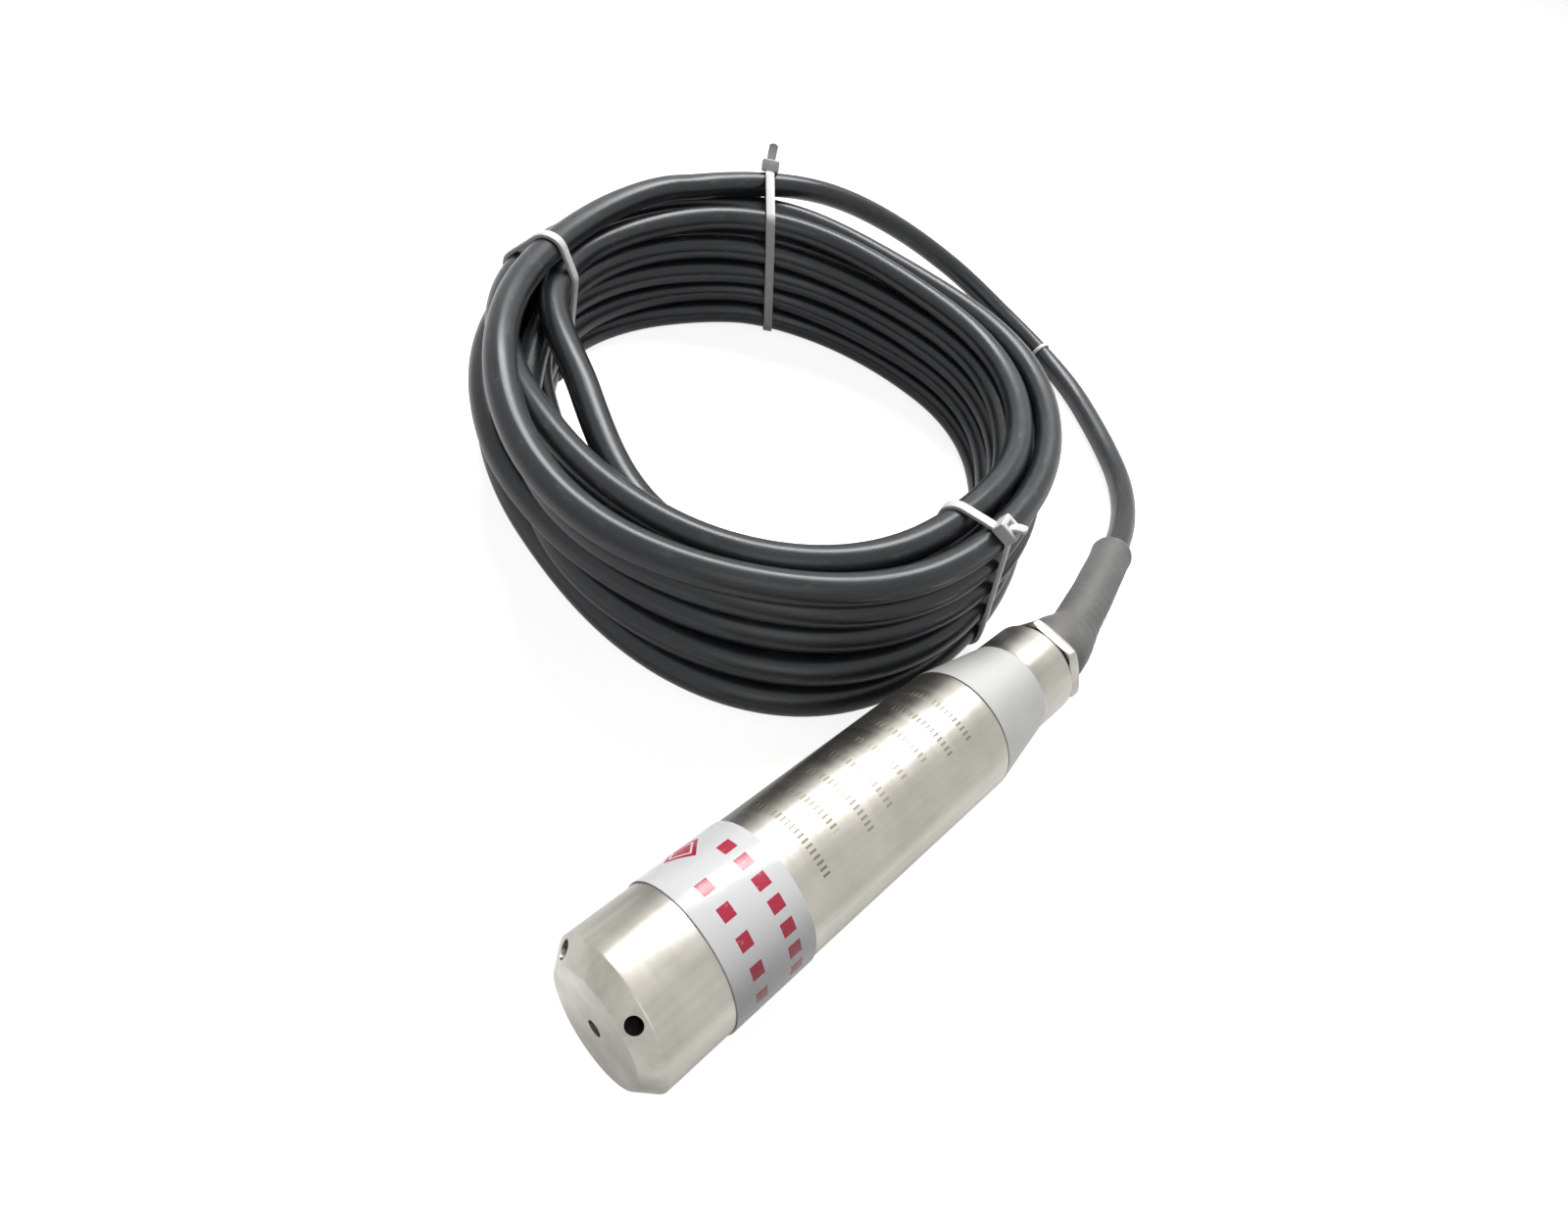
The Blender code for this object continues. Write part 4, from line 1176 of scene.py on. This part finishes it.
def buildWasher():
    washer = spun("gland_washer_turned", [
        (118.2, 10.0, 0.25), (117.2, 10.0, 0.25), (117.2, 7.3, 0.1), (118.2, 7.3, 0.1),
    ])
    return finishPiece(washer, slotFinish["black_rubber"], "black_rubber", "gland_washer", smooth=28)


def buildNut():
    start, collar, end = probe["nut"]
    corner = probe["nutFlats"] / 2 / math.cos(math.pi / 6)
    nut = spun("gland_nut_turned", [
        (end, 3.9, 0.2), (end, 7.3, 0.3), (collar, 7.3, 0), (collar, corner - 0.9, 0.2),
        (collar - 0.45, corner, 0), (start + 0.45, corner, 0), (start, corner - 0.9, 0.2), (start, 7.0, 0.1),
        (112.7, 7.0, 0.3), (112.7, 3.9, 0.2),
    ], 96)
    place = (noseEnd + (start + collar) / 2 * mm, 0, axisHeight)
    prism = cutter(place, corner * mm, 30 * mm, (probe["nutTurn"], math.pi / 2, 0), vertices=6)
    combine(nut, prism, "INTERSECT")
    modify(nut, "BEVEL", width=0.2 * mm, segments=2, limit_method="ANGLE", angle_limit=math.radians(40))
    return finishPiece(nut, turnedSteel, "turned_steel", "gland_nut", smooth=28)


# Printed film: glossy white with plain crimson prints, a lozenge and two rows of blocks
film = {
    "white": (0.80, 0.80, 0.805),
    "crimson": (0.50, 0.018, 0.055),
    "radius": 14.3 * mm,
    # place along, height, first turn (radians from the top), pitch, width, how many
    "rows": (
        (20.9 * mm, 2.4 * mm, -0.30, 5.3 * mm, 2.6 * mm, 5),
        (28.4 * mm, 2.6 * mm, -0.55, 4.3 * mm, 2.5 * mm, 7),
    ),
    # place along, turn, half its length along and half its width round
    "lozenge": (24.2 * mm, -0.98, 3.6 * mm, 4.6 * mm),
}
filmFinish = Recipe("printedFilm", film["white"], 0.20)


def printedMarks(recipe):
    along, turn, out = aroundProbe(recipe)
    arc = recipe.times(turn, film["radius"])
    printed = None
    for place, height, first, pitch, width, count in film["rows"]:
        cells = recipe.math("DIVIDE", recipe.minus(arc, first * film["radius"]), pitch)
        away = recipe.minus(along, place)
        inside = recipe.under(recipe.math("ABSOLUTE", away), height / 2)
        inside = recipe.times(inside, recipe.over(cells, 0.0))
        inside = recipe.times(inside, recipe.under(cells, float(count)))
        part = recipe.fraction(recipe.plus(cells, 40.0))
        inside = recipe.times(inside, recipe.under(part, width / pitch))
        printed = inside if printed is None else recipe.math("MAXIMUM", printed, inside)
    place, middle, halfAlong, halfRound = film["lozenge"]
    across = recipe.times(recipe.minus(turn, middle), film["radius"])
    reachAlong = recipe.math("DIVIDE", recipe.math("ABSOLUTE", recipe.minus(along, place)), halfAlong)
    reachRound = recipe.math("DIVIDE", recipe.math("ABSOLUTE", across), halfRound)
    reach = recipe.plus(reachAlong, reachRound)
    # A thin line is left white inside its edge
    ring = recipe.over(recipe.math("ABSOLUTE", recipe.minus(reach, 0.66)), 0.07)
    lozenge = recipe.times(recipe.under(reach, 1.0), ring)
    return recipe.math("MAXIMUM", printed, lozenge)


ink = filmFinish.span(filmFinish.noise(1100.0, 4.0), 0.26, 0.38, 0.55, 1.0)
mark = filmFinish.times(printedMarks(filmFinish), ink)
dim = tuple(0.95 * c for c in film["white"])
haze = filmFinish.blend(filmFinish.span(filmFinish.noise(90.0, 4.0), 0.3, 0.7), dim, film["white"])
filmFinish.colour(filmFinish.blend(mark, haze, film["crimson"]))
filmFinish.roughness(filmFinish.span(filmFinish.noise(300.0, 4.0), 0.3, 0.7, 0.16, 0.26))
filmFinish.bump(filmFinish.noise(220.0, 2.0), 0.2, 0.00006)


def buildFilm():
    start, end, inner, outer = probe["film"]
    band = spun("seal_film", [(end, outer, 0.07), (start, outer, 0.07), (start, inner, 0), (end, inner, 0)])
    return finishPiece(band, filmFinish, "printed_film", "seal_band", smooth=40)


for build in (buildNoseCap, buildHousing, buildTail, buildWasher, buildNut, buildFilm):
    build()
print("probe ready")
